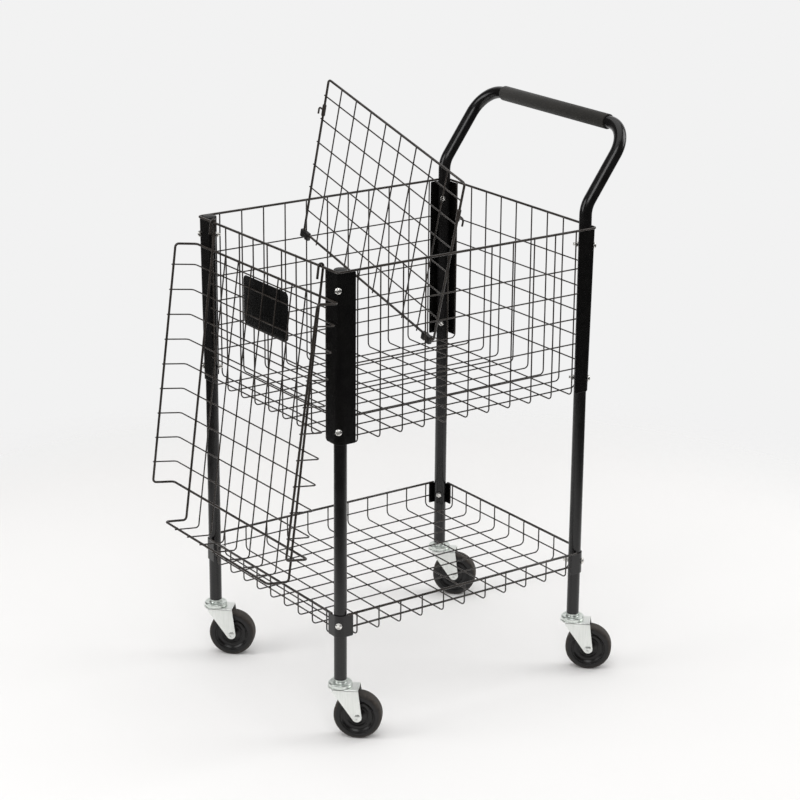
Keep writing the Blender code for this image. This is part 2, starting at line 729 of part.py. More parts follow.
# Casters: fixed stem with raceway, swivelling fork with its axle, and a wheel
def caster(corner):
    x, y = corner_point(corner, tube_inset)
    swivel = Vector((x, y, leg_bottom))
    bore = tube_radius - tube_wall - gap
    raceway_foot = -crown_drop + gap
    pin_foot = -crown_drop - fork_sheet - gap
    profile = [
        (0, stem_length),
        (bore, stem_length - 0.001),
        (bore, -gap),
        (tube_radius * 0.94, -gap),
        (tube_radius * 0.94, raceway_foot * 0.21),
        (raceway_radius * 0.72, raceway_foot * 0.43),
        (raceway_radius - 0.0012, raceway_foot * 0.56),
        (raceway_radius, raceway_foot * 0.69),
        (raceway_radius - 0.0006, raceway_foot),
        (kingpin_radius, raceway_foot),
        (kingpin_radius, pin_foot),
        (kingpin_head_radius, pin_foot),
        (kingpin_head_radius * 0.8, pin_foot - kingpin_head_height),
        (0, pin_foot - kingpin_head_height),
    ]
    place("caster_stem_" + corner, turned(profile, 14, Matrix.Translation(swivel)), bright_chrome)

    heading = Matrix.Rotation(caster_heading, 4, "Z")
    fork_place = Matrix.Translation(swivel) @ heading
    half_out = fork_gap / 2 + fork_sheet
    axle_drop = axle_height - leg_bottom
    low = axle_drop - fork_tip_radius - 0.002
    top = -crown_drop
    bend = fork_sheet + 0.0008
    half_in = fork_gap / 2
    under = top - fork_sheet
    outer = [(-half_out, low, 0), (-half_out, top, 0), (half_out, top, 0), (half_out, low, 0)]
    inner = [(half_in, low, 0), (half_in, under, 0), (-half_in, under, 0), (-half_in, low, 0)]
    channel = round_path(outer, bend, 3) + round_path(inner, bend - fork_sheet, 3)
    stand = Matrix.Rotation(math.radians(90), 4, "Z") @ Matrix.Rotation(math.radians(90), 4, "X")
    body = outline([p.xy for p in channel], 0.12, fork_place @ stand)

    side_place = Matrix.Rotation(math.radians(90), 4, "X")
    brow = -crown_front_radius - 0.002
    shoulder = top - bend - 0.0004
    side = [(crown_rear, top + 0.003), (brow, top + 0.003), (brow, shoulder), (fork_front_top, shoulder)]
    for k in range(7):
        angle = math.radians(218 + k * 25)
        side.append((caster_trail + fork_tip_radius * math.cos(angle),
                     axle_drop + fork_tip_radius * math.sin(angle)))
    body = common(body, outline(side, 0.06, fork_place @ side_place))
    plan = [(crown_rear, -crown_front_radius), (crown_rear, crown_front_radius)]
    for k in range(9):
        angle = math.radians(90 + 22.5 * k)
        plan.append((crown_front_radius * math.cos(angle), crown_front_radius * math.sin(angle)))
    body = common(body, outline(plan, 0.3, fork_place))
    body = cut(body, bar(swivel + Vector((0, 0, -0.03)), swivel, kingpin_radius + gap, 12))
    axle = swivel + heading.to_3x3() @ Vector((caster_trail, 0, 0)) + Vector((0, 0, axle_drop))
    across = heading.to_3x3() @ Vector((0, 1, 0))
    reach = half_out + axle_head_height
    pin = [
        (0, reach),
        (axle_head_radius * 0.7, reach),
        (axle_head_radius, half_out - 0.0008),
        (axle_radius, half_out - 0.0012),
        (axle_radius, -half_out + 0.0012),
        (axle_head_radius, -half_out + 0.0008),
        (axle_head_radius * 0.7, -reach),
        (0, -reach),
    ]
    along = across.to_track_quat("Z", "Y").to_matrix().to_4x4()
    body = join(body, turned(pin, 10, Matrix.Translation(axle) @ along))
    fork = place("caster_fork_" + corner, body, zinc_plate, pivot=swivel)

    half = wheel_width / 2
    face = fork_gap / 2 - gap
    rim = [
        (wheel_radius, half - 0.0035),
        (wheel_radius - 0.0025, half),
        (web_outer + 0.0010, half),
        (web_outer, half - web_depth),
        (hub_boss, half - web_depth),
        (hub_radius, face),
        (axle_radius + gap, face),
    ]
    ring = [(r, z) for r, z in reversed(rim)] + [(r, -z) for r, z in rim]
    spin = Matrix.Rotation(math.radians(180 / wheel_segments), 4, "Z")
    level = Matrix.Rotation(caster_heading, 4, "Z") @ Matrix.Rotation(math.radians(-90), 4, "X")
    tyre = turned(ring, wheel_segments, Matrix.Translation(axle) @ level @ spin, closed=True)
    place("caster_wheel_" + corner, tyre, tyre_rubber, pivot=axle, parent=fork)


for corner in corners:
    caster(corner)

# Centre the footprint over the origin
bpy.context.view_layer.update()
low = [1e9, 1e9]
high = [-1e9, -1e9]
for obj in cart.objects:
    for vert in obj.data.vertices:
        spot = obj.matrix_world @ vert.co
        for k in range(2):
            low[k] = min(low[k], spot[k])
            high[k] = max(high[k], spot[k])
shift = Vector((-(low[0] + high[0]) / 2, -(low[1] + high[1]) / 2, 0))
for obj in cart.objects:
    if obj.parent is None:
        obj.location += shift
print("footprint shift", [round(v, 6) for v in shift])
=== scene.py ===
# Wire ball cart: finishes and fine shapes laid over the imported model
import math

import bmesh
import bpy
from mathutils import Matrix, Vector


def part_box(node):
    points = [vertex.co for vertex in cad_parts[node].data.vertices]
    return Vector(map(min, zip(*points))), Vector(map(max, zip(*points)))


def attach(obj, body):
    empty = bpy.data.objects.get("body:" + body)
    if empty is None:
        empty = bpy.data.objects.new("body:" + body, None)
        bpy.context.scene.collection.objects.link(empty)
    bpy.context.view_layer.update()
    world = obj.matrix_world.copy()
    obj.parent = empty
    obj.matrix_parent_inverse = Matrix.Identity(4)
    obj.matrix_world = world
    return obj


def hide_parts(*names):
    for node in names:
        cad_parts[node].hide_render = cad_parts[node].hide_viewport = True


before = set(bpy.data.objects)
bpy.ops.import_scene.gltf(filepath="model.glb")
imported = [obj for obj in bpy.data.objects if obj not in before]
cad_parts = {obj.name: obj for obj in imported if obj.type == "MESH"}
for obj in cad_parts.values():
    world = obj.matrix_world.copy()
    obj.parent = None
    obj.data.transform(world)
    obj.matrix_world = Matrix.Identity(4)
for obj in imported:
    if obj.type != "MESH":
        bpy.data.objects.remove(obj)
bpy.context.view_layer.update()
print("frame loaded,", len(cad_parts), "nodes")

rimLow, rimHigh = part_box("basket_rim")
middle = Vector(((rimLow.x + rimHigh.x) / 2, (rimLow.y + rimHigh.y) / 2, 0))  # under the middle of the baskets

# Sizes shared by several pieces, in metres. -X is the lid side, +X the handle side.
cart = {
    "length": 0.602,
    "width": 0.500,
    "rimHeight": 0.934,
    "basketDepth": 0.338,
    "trayRimHeight": 0.256,
    "trayDepth": 0.050,
    "pitch": 0.051,  # close to 2 inches
    "thinWire": 0.0028,
    "heavyWire": 0.0048,
    "weldSpacing": 0.75,  # a weld sinks two wires a quarter of their thickness into each other
    "weldBead": 0.0019,
    "tubeRadius": 0.0125,
    "tubeWall": 0.0013,
    "legBottom": 0.1194,
    "jointDrop": 0.150,
    "sheet": 0.002,
    "clearance": 0.0003,
}
tubeInset = cart["tubeRadius"] + cart["clearance"] + cart["heavyWire"] / 2
weldThin = cart["thinWire"] * cart["weldSpacing"]
weldMixed = (cart["thinWire"] + cart["heavyWire"]) / 2 * cart["weldSpacing"]
wallInset = cart["heavyWire"] / 2 + cart["clearance"] + cart["thinWire"] / 2
corners = {"front_left": (-1, -1), "front_right": (-1, 1), "rear_left": (1, -1), "rear_right": (1, 1)}


def cornerPoint(corner, height=0.0):
    alongX, alongY = corners[corner]
    reachX, reachY = cart["length"] / 2 - tubeInset, cart["width"] / 2 - tubeInset
    return middle + Vector((alongX * reachX, alongY * reachY, height))


def outward(corner):
    return Vector((*corners[corner], 0)).normalized()


def spread(count, pitch):
    return [(i - (count - 1) / 2) * pitch for i in range(count)]


def placed(*points):
    return [middle + Vector(point) for point in points]


# Materials
def linear(hexText):
    parts = [int(hexText[i:i + 2], 16) / 255 for i in (1, 3, 5)]
    return (*[c / 12.92 if c <= 0.04045 else ((c + 0.055) / 1.055) ** 2.4 for c in parts], 1)


def connect(tree, node, links):
    for name, source in links.items():  # a node stands for its first output
        if isinstance(source, bpy.types.Node):
            source = source.outputs[0]
        tree.links.new(source, node.inputs[name])


def addNode(tree, kind, settings=None, links=None):
    node = tree.nodes.new(kind)
    for name, value in (settings or {}).items():
        if name == "stops":  # the two ends of a colour ramp
            for element, (position, colour) in zip(node.color_ramp.elements, value):
                element.position, element.color = position, linear(colour)
        elif isinstance(name, int) or name in node.inputs:
            node.inputs[name].default_value = value
        else:
            setattr(node, name, value)
    connect(tree, node, links or {})
    return node


def startMaterial(name, settings):
    material = bpy.data.materials.new(name)
    material.use_nodes = True
    tree = material.node_tree
    shader = tree.nodes["Principled BSDF"]
    for socket, value in settings.items():
        shader.inputs[socket].default_value = value
    place = addNode(tree, "ShaderNodeTexCoord").outputs["Object"]
    return material, tree, shader, place


tintBlend = (0.35, 0.65)  # the part of a noise over which its patches run into each other
glossBlend = (0.3, 0.7)


def mottled(name, settings, look):
    # Soft patches of two colours and of two roughnesses over a fine relief. Each grain is a size in
    # millimetres and a detail, for colour, roughness and relief in turn; the depth is in millimetres too
    material, tree, shader, place = startMaterial(name, settings)
    along = place
    if "stretch" in look:
        along = addNode(tree, "ShaderNodeMapping", {"Scale": look["stretch"]}, {"Vector": place})
    clouds, haze, ripple = [
        addNode(tree, "ShaderNodeTexNoise", {"Scale": 1000 / size, "Detail": detail}, {"Vector": way})
        for (size, detail), way in zip(look["grains"], (along, place, along))]
    tint = addNode(tree, "ShaderNodeValToRGB", {"stops": zip(tintBlend, look["colours"])}, {"Fac": clouds})
    low, high = look["roughness"]
    gloss = addNode(tree, "ShaderNodeMapRange", {"From Min": glossBlend[0], "From Max": glossBlend[1],
                                                 "To Min": low, "To Max": high}, {"Value": haze})
    relief = addNode(tree, "ShaderNodeBump",
                     {"Strength": look.get("strength", 0.4), "Distance": look["depth"] / 1000},
                     {"Height": ripple})
    connect(tree, shader, {"Base Color": tint, "Roughness": gloss, "Normal": relief})
    return material


# Powder coat on steel: baked paint with a faint orange-peel ripple that breaks up its highlights
wirePaint = mottled("black_powder_coat_wire", {"IOR": 1.5}, {
    "colours": ("#26221f", "#36312d"),
    "roughness": (0.22, 0.30),
    "grains": ((22, 3), (9, 4), (1.6, 1)),
    "depth": 0.004,
})
tubePaint = mottled("black_gloss_paint_tube", {"IOR": 1.5}, {
    "colours": ("#0b0a0a", "#131212"),
    "roughness": (0.20, 0.26),
    "grains": ((22, 3), (9, 4), (6.0, 1)),
    "depth": 0.002,
})
platePaint = mottled("black_powder_coat_sheet", {"IOR": 1.5}, {
    "colours": ("#060505", "#0b0a09"),
    "roughness": (0.20, 0.27),
    "grains": ((22, 3), (9, 4), (4.0, 1)),
    "depth": 0.008,
})

# Moulded plastic: even black with the fine spark-eroded grain of its mould
moulded = {"grains": ((14, 2), (5, 3), (0.7, 2)), "depth": 0.015}
capPlastic = mottled("black_abs_cap", {"IOR": 1.53}, {
    **moulded,
    "colours": ("#0d0c0c", "#151414"),
    "roughness": (0.41, 0.51),
})
clipPlastic = mottled("black_nylon_clip", {"IOR": 1.53}, {
    **moulded,
    "colours": ("#121110", "#1c1a19"),
    "roughness": (0.35, 0.45),
})
cardPlastic = mottled("black_styrene_card", {"IOR": 1.53}, {
    **moulded,
    "colours": ("#040404", "#070706"),
    "roughness": (0.21, 0.31),
})

# Bright zinc plating on pressed steel: pale, softly rolled grain with a faint blue-green passivate
forkZinc = mottled("bright_zinc_plate", {"Metallic": 1.0}, {
    "colours": ("#e9ece8", "#f0f2ef"),
    "roughness": (0.32, 0.42),
    "grains": ((3, 4), (7, 4), (0.9, 2)),
    "depth": 0.006,
    "stretch": (1, 1, 0.12),
})

# Polished plated steel: clear reflections with slight haze and a few dull patches
plated = {"grains": ((5, 3), (4, 4), (4, 1)), "depth": 0.003, "strength": 0.2}
racewayChrome = mottled("plated_raceway", {"Metallic": 1.0}, {
    **plated,
    # the faint green in these two colours is a painted reflection, not a tint of the plating
    "colours": ("#d2d9d3", "#e6ebe6"),
    "roughness": (0.29, 0.34),
})
boltNickel = mottled("nickel_plated_bolt", {"Metallic": 1.0}, {
    **plated,
    "colours": ("#eceae5", "#f8f7f3"),
    "roughness": (0.24, 0.34),
})

foam = {
    "colours": ("#15130f", "#1f1c17"),
    "mottle": 16,  # millimetres, as are the cells and the skin
    "cell": 1.1,
    "skin": 3.5,
    "depth": 0.10,
    "strength": 0.5,
}


def foamRubber(name):
    # Closed-cell foam rubber: dull charcoal skin, mottled, with open cells about a millimetre wide
    material, tree, shader, place = startMaterial(name, {"Roughness": 0.85, "IOR": 1.45, "Sheen Weight": 0.15,
                                                         "Sheen Roughness": 0.5})
    mottle = addNode(tree, "ShaderNodeTexNoise", {"Scale": 1000 / foam["mottle"], "Detail": 5, "Roughness": 0.6},
                     {"Vector": place})
    tint = addNode(tree, "ShaderNodeValToRGB", {"stops": zip(tintBlend, foam["colours"])}, {"Fac": mottle})
    cells = addNode(tree, "ShaderNodeTexVoronoi", {"Scale": 1000 / foam["cell"]}, {"Vector": place})
    skin = addNode(tree, "ShaderNodeTexNoise", {"Scale": 1000 / foam["skin"], "Detail": 3}, {"Vector": place})
    both = addNode(tree, "ShaderNodeMath", {"operation": "ADD"}, {0: cells, 1: skin})
    relief = addNode(tree, "ShaderNodeBump", {"Strength": foam["strength"], "Distance": foam["depth"] / 1000},
                     {"Height": both})
    connect(tree, shader, {"Base Color": tint, "Normal": relief})
    return material


gripFoam = foamRubber("charcoal_foam_rubber")

tyre = {
    "colours": ("#100f0f", "#181717"),
    "tint": 10,  # millimetres, as are the speckle and the pits
    "speckle": 6,
    "pit": 1.2,
    "depth": 0.05,
    "strength": 0.4,
    "dust": "#443d37",
    "dustRadii": (0.0405, 0.0465),  # metres from the axle: none inside the first, full beyond the second
    "dustBlend": (0.35, 0.62),
    "dustLeast": 0.25,
    "roughness": (0.30, 0.70),  # where there is no dust, and with as much of it as the next line says
    "dustyFrom": 0.7,
}


def tyreRubber(name, axle, axis):
    # Moulded rubber wheel: near-black sides, and a tread that has picked up grey-brown floor dust
    material, tree, shader, place = startMaterial(name, {"IOR": 1.5, "Specular IOR Level": 0.38})
    centred = addNode(tree, "ShaderNodeMapping", {"vector_type": "POINT", "Location": -axle}, {"Vector": place})
    across = addNode(tree, "ShaderNodeVectorMath", {"operation": "CROSS_PRODUCT", 1: axis}, {0: centred})
    radius = addNode(tree, "ShaderNodeVectorMath", {"operation": "LENGTH"}, {0: across}).outputs["Value"]
    inner, outer = tyre["dustRadii"]
    worn = addNode(tree, "ShaderNodeMapRange", {"From Min": inner, "From Max": outer}, {"Value": radius})
    spots = addNode(tree, "ShaderNodeTexNoise", {"Scale": 1000 / tyre["speckle"], "Detail": 6, "Roughness": 0.7},
                    {"Vector": place})
    low, high = tyre["dustBlend"]
    speckle = addNode(tree, "ShaderNodeMapRange", {"From Min": low, "From Max": high, "To Min": tyre["dustLeast"]},
                      {"Value": spots})
    dust = addNode(tree, "ShaderNodeMath", {"operation": "MULTIPLY"}, {0: worn, 1: speckle})
    clouds = addNode(tree, "ShaderNodeTexNoise", {"Scale": 1000 / tyre["tint"], "Detail": 3}, {"Vector": place})
    tint = addNode(tree, "ShaderNodeValToRGB", {"stops": zip(tintBlend, tyre["colours"])}, {"Fac": clouds})
    mixed = addNode(tree, "ShaderNodeMix", {"data_type": "RGBA", 7: linear(tyre["dust"])}, {0: dust, 6: tint})
    clean, dusty = tyre["roughness"]
    gloss = addNode(tree, "ShaderNodeMapRange", {"From Max": tyre["dustyFrom"], "To Min": clean, "To Max": dusty},
                    {"Value": dust})
    pits = addNode(tree, "ShaderNodeTexNoise", {"Scale": 1000 / tyre["pit"], "Detail": 4}, {"Vector": place})
    relief = addNode(tree, "ShaderNodeBump", {"Strength": tyre["strength"], "Distance": tyre["depth"] / 1000},
                     {"Height": pits})
    connect(tree, shader, {"Base Color": mixed.outputs[2], "Roughness": gloss, "Normal": relief})
    return material


print("materials ready")


# Making and finishing pieces
def makePiece(name, bm, body, material, nodes, sharpAngle=38):
    bmesh.ops.remove_doubles(bm, verts=bm.verts, dist=1e-7)
    bmesh.ops.recalc_face_normals(bm, faces=bm.faces)
    mesh = bpy.data.meshes.new(name)
    bm.to_mesh(mesh)
    bm.free()
    mesh.shade_smooth()
    mesh.set_sharp_from_angle(angle=math.radians(sharpAngle))
    mesh.materials.append(material)
    piece = bpy.data.objects.new(name, mesh)
    bpy.context.scene.collection.objects.link(piece)
    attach(piece, body)
    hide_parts(*nodes)
    return piece


def onlyEdges(geometry):
    return [item for item in geometry if isinstance(item, bmesh.types.BMEdge)]


def onlyVerts(geometry):
    return [item for item in geometry if isinstance(item, bmesh.types.BMVert)]


def edgesAt(verts):
    return list(dict.fromkeys(edge for vert in verts for edge in vert.link_edges))


def edgesRound(faces):
    return list(dict.fromkeys(edge for face in faces for edge in face.edges))


def pushEdges(bm, edges, step):
    grown = bmesh.ops.extrude_edge_only(bm, edges=edges)["geom"]
    bmesh.ops.translate(bm, verts=onlyVerts(grown), vec=step)
    return onlyEdges(grown)


def roundOff(bm, items, offset, segments, affect="EDGES"):
    bmesh.ops.bevel(bm, geom=items, offset=offset, segments=segments, profile=0.5, affect=affect,
                    clamp_overlap=True, material=-1)


def softenEdges(bm, offset, segments=2, angle=60):
    sharp = [edge for edge in bm.edges if edge.is_manifold and edge.calc_face_angle() > math.radians(angle)]
    roundOff(bm, sharp, offset, segments)


def turnedTo(way):
    return way.to_track_quat("Z", "Y").to_matrix().to_4x4()


heavyRod = {"sides": 16, "steps": 8}


def bendRod(bm, points, diameter, bends, sides=12, steps=6, closed=False):
    points = [Vector(point) for point in points]
    if not isinstance(bends, list):
        bends = [bends] * len(points)
    if closed:  # begin and end in the middle of a straight run
        halfway = (points[0] + points[-1]) / 2
        points = [halfway] + points + [halfway]
    at = points[0]
    made = bmesh.ops.create_circle(bm, cap_ends=False, segments=sides, radius=diameter / 2,
                                   matrix=Matrix.Translation(at) @ turnedTo(points[1] - at))["verts"]
    ring = edgesAt(made)
    ends = [ring]
    for last, corner, after, bend in zip(points, points[1:], points[2:], bends):
        wayIn = (corner - last).normalized()
        wayOut = (after - corner).normalized()
        turn = wayIn.angle(wayOut)
        reach = bend * math.tan(turn / 2)
        ring = pushEdges(bm, ring, corner - wayIn * reach - at)
        axis = wayIn.cross(wayOut).normalized()
        hub = corner - wayIn * reach + axis.cross(wayIn) * bend
        spun = bmesh.ops.spin(bm, geom=ring, cent=hub, axis=axis, angle=turn,
                              steps=max(2, round(steps * turn / (math.pi / 2))))
        ring = onlyEdges(spun["geom_last"])
        at = corner + wayOut * reach
    ring = pushEdges(bm, ring, points[-1] - at)
    if not closed:
        for rim in (ends[0], ring):
            bmesh.ops.edgeloop_fill(bm, edges=rim)


def lathe(bm, profile, segments, place=None):
    place = place or Matrix()
    verts = [bm.verts.new(place @ Vector((radius, 0, height))) for radius, height in profile]
    edges = [bm.edges.new(pair) for pair in zip(verts, verts[1:])]
    bmesh.ops.spin(bm, geom=verts + edges, cent=place.translation, axis=place.to_3x3() @ Vector((0, 0, 1)),
                   angle=2 * math.pi, steps=segments, use_merge=True)


def weldSpots(bm, spots):
    for spot in spots:  # a low bead where two wires are fused
        bmesh.ops.create_uvsphere(bm, u_segments=8, v_segments=4, radius=cart["weldBead"],
                                  matrix=Matrix.Translation(spot))


# Baskets: each wire runs unbroken down one wall, across the floor and up the other
basket = {
    "wallRows": 5,
    "firstRowDrop": 0.0765,
    "trayRowDrop": 0.028,
    "plateWing": 0.040,
    "bracketWing": 0.035,
    "rowEnd": 0.004,
    "bend": 0.009,
    "rimCorner": 0.0065,
    "rimSides": 20,
    "rimSteps": 12,
    "trayRimEnd": 0.022,
    "trayRimRounding": 0.0005,
}


def wireCount(span):
    return 2 * math.floor((span / 2 - basket["plateWing"] - basket["rowEnd"]) / cart["pitch"]) + 1


def rimRing():
    halfX, halfY, height = cart["length"] / 2, cart["width"] / 2, cart["rimHeight"]
    ring = placed((halfX, halfY, height), (-halfX, halfY, height), (-halfX, -halfY, height),
                  (halfX, -halfY, height))
    bm = bmesh.new()
    bendRod(bm, ring, cart["heavyWire"], basket["rimCorner"], basket["rimSides"], basket["rimSteps"], closed=True)
    makePiece("basket_rim_wire", bm, "cart_frame", wirePaint, ["basket_rim"])


def trayRim():  # four straight wires, welded along the top edges of the brackets
    halfX, halfY, height = cart["length"] / 2, cart["width"] / 2, cart["trayRimHeight"]
    endX, endY = halfX - basket["trayRimEnd"], halfY - basket["trayRimEnd"]
    bm = bmesh.new()
    for side in (-1, 1):
        for line in (((-endX, side * halfY, height), (endX, side * halfY, height)),
                     ((side * halfX, -endY, height), (side * halfX, endY, height))):
            bendRod(bm, placed(*line), cart["heavyWire"], 0, basket["rimSides"])
    softenEdges(bm, basket["trayRimRounding"])
    makePiece("tray_rim_wire", bm, "cart_frame", wirePaint, ["tray_rim"])


def basketMesh(name, label, rim, depth, wing, rows):
    bm = bmesh.new()
    halfX, halfY = cart["length"] / 2, cart["width"] / 2
    innerX, innerY = halfX - wallInset, halfY - wallInset
    endX, endY = halfX - wing - cart["clearance"], halfY - wing - cart["clearance"]
    floorLow = rim - depth
    floorHigh = floorLow + weldThin
    joint = cart["heavyWire"] / 2  # the uprights meet the rim on its inner side
    alongX = spread(wireCount(cart["length"]), cart["pitch"])
    alongY = spread(wireCount(cart["width"]), cart["pitch"])
    wires = [((-innerX, y, rim), (-innerX, y, floorLow), (innerX, y, floorLow), (innerX, y, rim)) for y in alongY]
    wires += [((x, -innerY, rim), (x, -innerY, floorHigh), (x, innerY, floorHigh), (x, innerY, rim))
              for x in alongX]
    spots = [(x, y, floorLow + weldThin / 2) for x in alongX for y in alongY]
    for side in (-1, 1):
        outX, outY = side * (innerX + weldThin), side * (innerY + weldThin)
        for row in rows:
            wires += [((-endX, outY, row), (endX, outY, row)), ((outX, -endY, row), (outX, endY, row))]
            spots += [(x, outY - side * weldThin / 2, row) for x in alongX]
            spots += [(outX - side * weldThin / 2, y, row) for y in alongY]
        spots += [(x, side * (halfY - joint), rim) for x in alongX]
        spots += [(side * (halfX - joint), y, rim) for y in alongY]
    for wire in wires:
        bendRod(bm, placed(*wire), cart["thinWire"], basket["bend"])
    weldSpots(bm, placed(*spots))
    nodes = [label + "_floor"] + [label + "_wall_" + side for side in ("front", "rear", "left", "right")]
    makePiece(name, bm, "cart_frame", wirePaint, nodes)


rimRing()
trayRim()
rowLevels = [cart["rimHeight"] - basket["firstRowDrop"] - i * cart["pitch"] for i in range(basket["wallRows"])]
basketMesh("basket_mesh", "basket", cart["rimHeight"], cart["basketDepth"], basket["plateWing"], rowLevels)
basketMesh("tray_mesh", "tray", cart["trayRimHeight"], cart["trayDepth"], basket["bracketWing"],
           [cart["trayRimHeight"] - basket["trayRowDrop"]])
print("baskets made")


# Corner plates and tray brackets: sheet folded round the tubes. A corner plate's fold is tight at
# its top and opens downwards until it hugs the tube at its foot
plates = {
    "length": 0.331,
    "bracketLength": 0.0445,
    "topFold": 0.003,
    "cornerRounding": 0.0025,
    "cornerSteps": 4,
    "edgeRounding": 0.0005,
    "foldSteps": 14,
    "sharpAngle": 20,  # keeps the softened edges from bending the shading of the long faces
}
plateInner = cart["tubeRadius"] + cart["clearance"]


def foldAt(drop):
    return plates["topFold"] + (plateInner - plates["topFold"]) * drop / plates["length"]


def foldedSheet(name, corner, wing, topFold, top, length, node):
    bm = bmesh.new()
    alongX, alongY = corners[corner]
    reach = wing - tubeInset
    rows = []
    for fold, height in ((topFold, top), (plateInner, top - length)):
        centre = plateInner - fold
        path = [(-reach, plateInner)]
        for step in range(plates["foldSteps"] + 1):
            angle = math.pi / 2 * (1 - step / plates["foldSteps"])
            path.append((centre + fold * math.cos(angle), centre + fold * math.sin(angle)))
        path.append((plateInner, -reach))
        spot = cornerPoint(corner, height)
        rows.append([bm.verts.new(spot + Vector((alongX * x, alongY * y, 0))) for x, y in path])
    edges = [bm.edges.new(pair) for row in rows for pair in zip(row, row[1:])]
    bmesh.ops.bridge_loops(bm, edges=edges)
    ends = [row[place] for row in rows for place in (0, -1)]
    roundOff(bm, ends, plates["cornerRounding"], plates["cornerSteps"], "VERTICES")
    bmesh.ops.recalc_face_normals(bm, faces=bm.faces)
    fold = max(bm.faces, key=lambda face: (face.calc_center_median() - middle).dot(outward(corner)))
    if fold.normal.dot(outward(corner)) < 0:
        bmesh.ops.reverse_faces(bm, faces=bm.faces)
    bmesh.ops.solidify(bm, geom=bm.faces, thickness=-cart["sheet"])
    softenEdges(bm, plates["edgeRounding"])
    makePiece(name, bm, "cart_frame", platePaint, [node], plates["sharpAngle"])


plateTop = cart["rimHeight"] - cart["heavyWire"] / 2 - cart["clearance"]
bracketTop = cart["trayRimHeight"] - cart["heavyWire"] / 4
for corner in corners:
    foldedSheet("plate_" + corner, corner, basket["plateWing"], plates["topFold"], plateTop, plates["length"],
                "corner_plate_" + corner)
    foldedSheet("bracket_" + corner, corner, basket["bracketWing"], plateInner, bracketTop,
                plates["bracketLength"], "tray_bracket_" + corner)
print("plates made")


# Bolts: low domed heads with a shallow ring pressed in them outside, nuts on the inside
bolts = {
    "radius": 0.0029,
    "headRadius": 0.0065,
    "headHeight": 0.0042,
    "headSides": 32,
    "headSeat": 0.004,  # how far the head's shank runs in under it
    "edge": ((0, 0.0006), (0.0004, 0)),  # the head's foot: in from its radius, and up from its seat
    "domeFoot": 0.0010,
    "domeDrop": 0.0014,  # the dome alone is this much lower than the head
    "domeAngle": 56,
    "domeStep": 8,
    "grooveRadius": 0.0030,
    # out from the groove's radius, and down from the head's top
    "groove": ((-0.0009, 0.0001), (-0.0003, 0.0006), (0.0003, 0.0006), (0.0009, 0.0003)),
    "nutRadius": 0.0058,
    "nutHeight": 0.0052,
    "nutRounding": 0.0005,
    "threadEnd": 0.0050,
    "threadPitch": 0.0010,
    "threadDepth": 0.3,  # of the pitch
    "threadPoint": 0.0006,
    "threadInNut": 0.0006,
    "threadSides": 20,
    "upperDrop": 0.0345,
    "lowerDrop": 0.308,
    "trayDrop": 0.0215,
    "sharpAngle": 30,
}


def boltShape(bm, corner, level, fold):
    place = Matrix.Translation(cornerPoint(corner, level)) @ turnedTo(outward(corner))
    # the head sits on the ridge of the fold
    seat = (plateInner - fold) * math.sqrt(2) + fold + cart["sheet"] + cart["clearance"]
    radius, height = bolts["headRadius"], bolts["headHeight"]
    profile = [(0, seat + height)]
    profile += [(bolts["grooveRadius"] + out, seat + height - down) for out, down in bolts["groove"]]
    for degrees in range(bolts["domeAngle"], 0, -bolts["domeStep"]):  # dome from the groove to the edge
        angle = math.radians(degrees)
        rise = (height - bolts["domeDrop"]) * math.sin(angle) / math.sin(math.radians(bolts["domeAngle"]))
        profile.append((radius * math.cos(angle), seat + bolts["domeFoot"] + rise))
    profile += [(radius - inwards, seat + rise) for inwards, rise in bolts["edge"]]
    profile += [(bolts["radius"], seat), (bolts["radius"], seat - bolts["headSeat"])]
    lathe(bm, profile, bolts["headSides"], place)
    nutFace = -plateInner - bolts["nutHeight"]
    nutPlace = place @ Matrix.Translation((0, 0, -plateInner - bolts["nutHeight"] / 2))
    nut = bmesh.ops.create_cone(bm, cap_ends=True, segments=6, radius1=bolts["nutRadius"],
                                radius2=bolts["nutRadius"], depth=bolts["nutHeight"], matrix=nutPlace)["verts"]
    roundOff(bm, edgesAt(nut), bolts["nutRounding"], 2)
    end = nutFace - bolts["threadEnd"]
    pitch = bolts["threadPitch"]
    thread = [(0, end), (bolts["radius"] - bolts["threadPoint"], end)]
    for step in range(1, round((bolts["threadEnd"] + bolts["threadInNut"]) / pitch * 2) + 1):
        depth = pitch * bolts["threadDepth"] if step % 2 else 0
        thread.append((bolts["radius"] - depth, end + step * pitch / 2))
    lathe(bm, thread, bolts["threadSides"], place)


for corner in corners:
    bm = bmesh.new()
    for drop in (bolts["upperDrop"], bolts["lowerDrop"]):
        level = cart["rimHeight"] - drop
        boltShape(bm, corner, level, foldAt(plateTop - level))
    boltShape(bm, corner, cart["trayRimHeight"] - bolts["trayDrop"], plateInner)
    nodes = ["bolt_" + row + "_" + corner for row in ("upper", "lower", "tray")]
    makePiece("bolts_" + corner, bm, "cart_frame", boltNickel, nodes, bolts["sharpAngle"])
print("bolts made")


# Legs: open tubes; caps close the front pair and the handle slips into the rear pair
legs = {
    "segments": 40,
    "topDrop": 0.001,
    "cutEdge": 0.0004,
    "capFlange": 0.0016,
    "capDome": 0.0032,
    "domeReach": 0.985,  # of the tube's radius
    "domeSteps": 8,
    "domeStep": 10.5,  # degrees
    "flangeEdge": 0.7,  # of the flange's height
    "plugRoom": 0.0016,
    "plugDepth": 0.006,
}


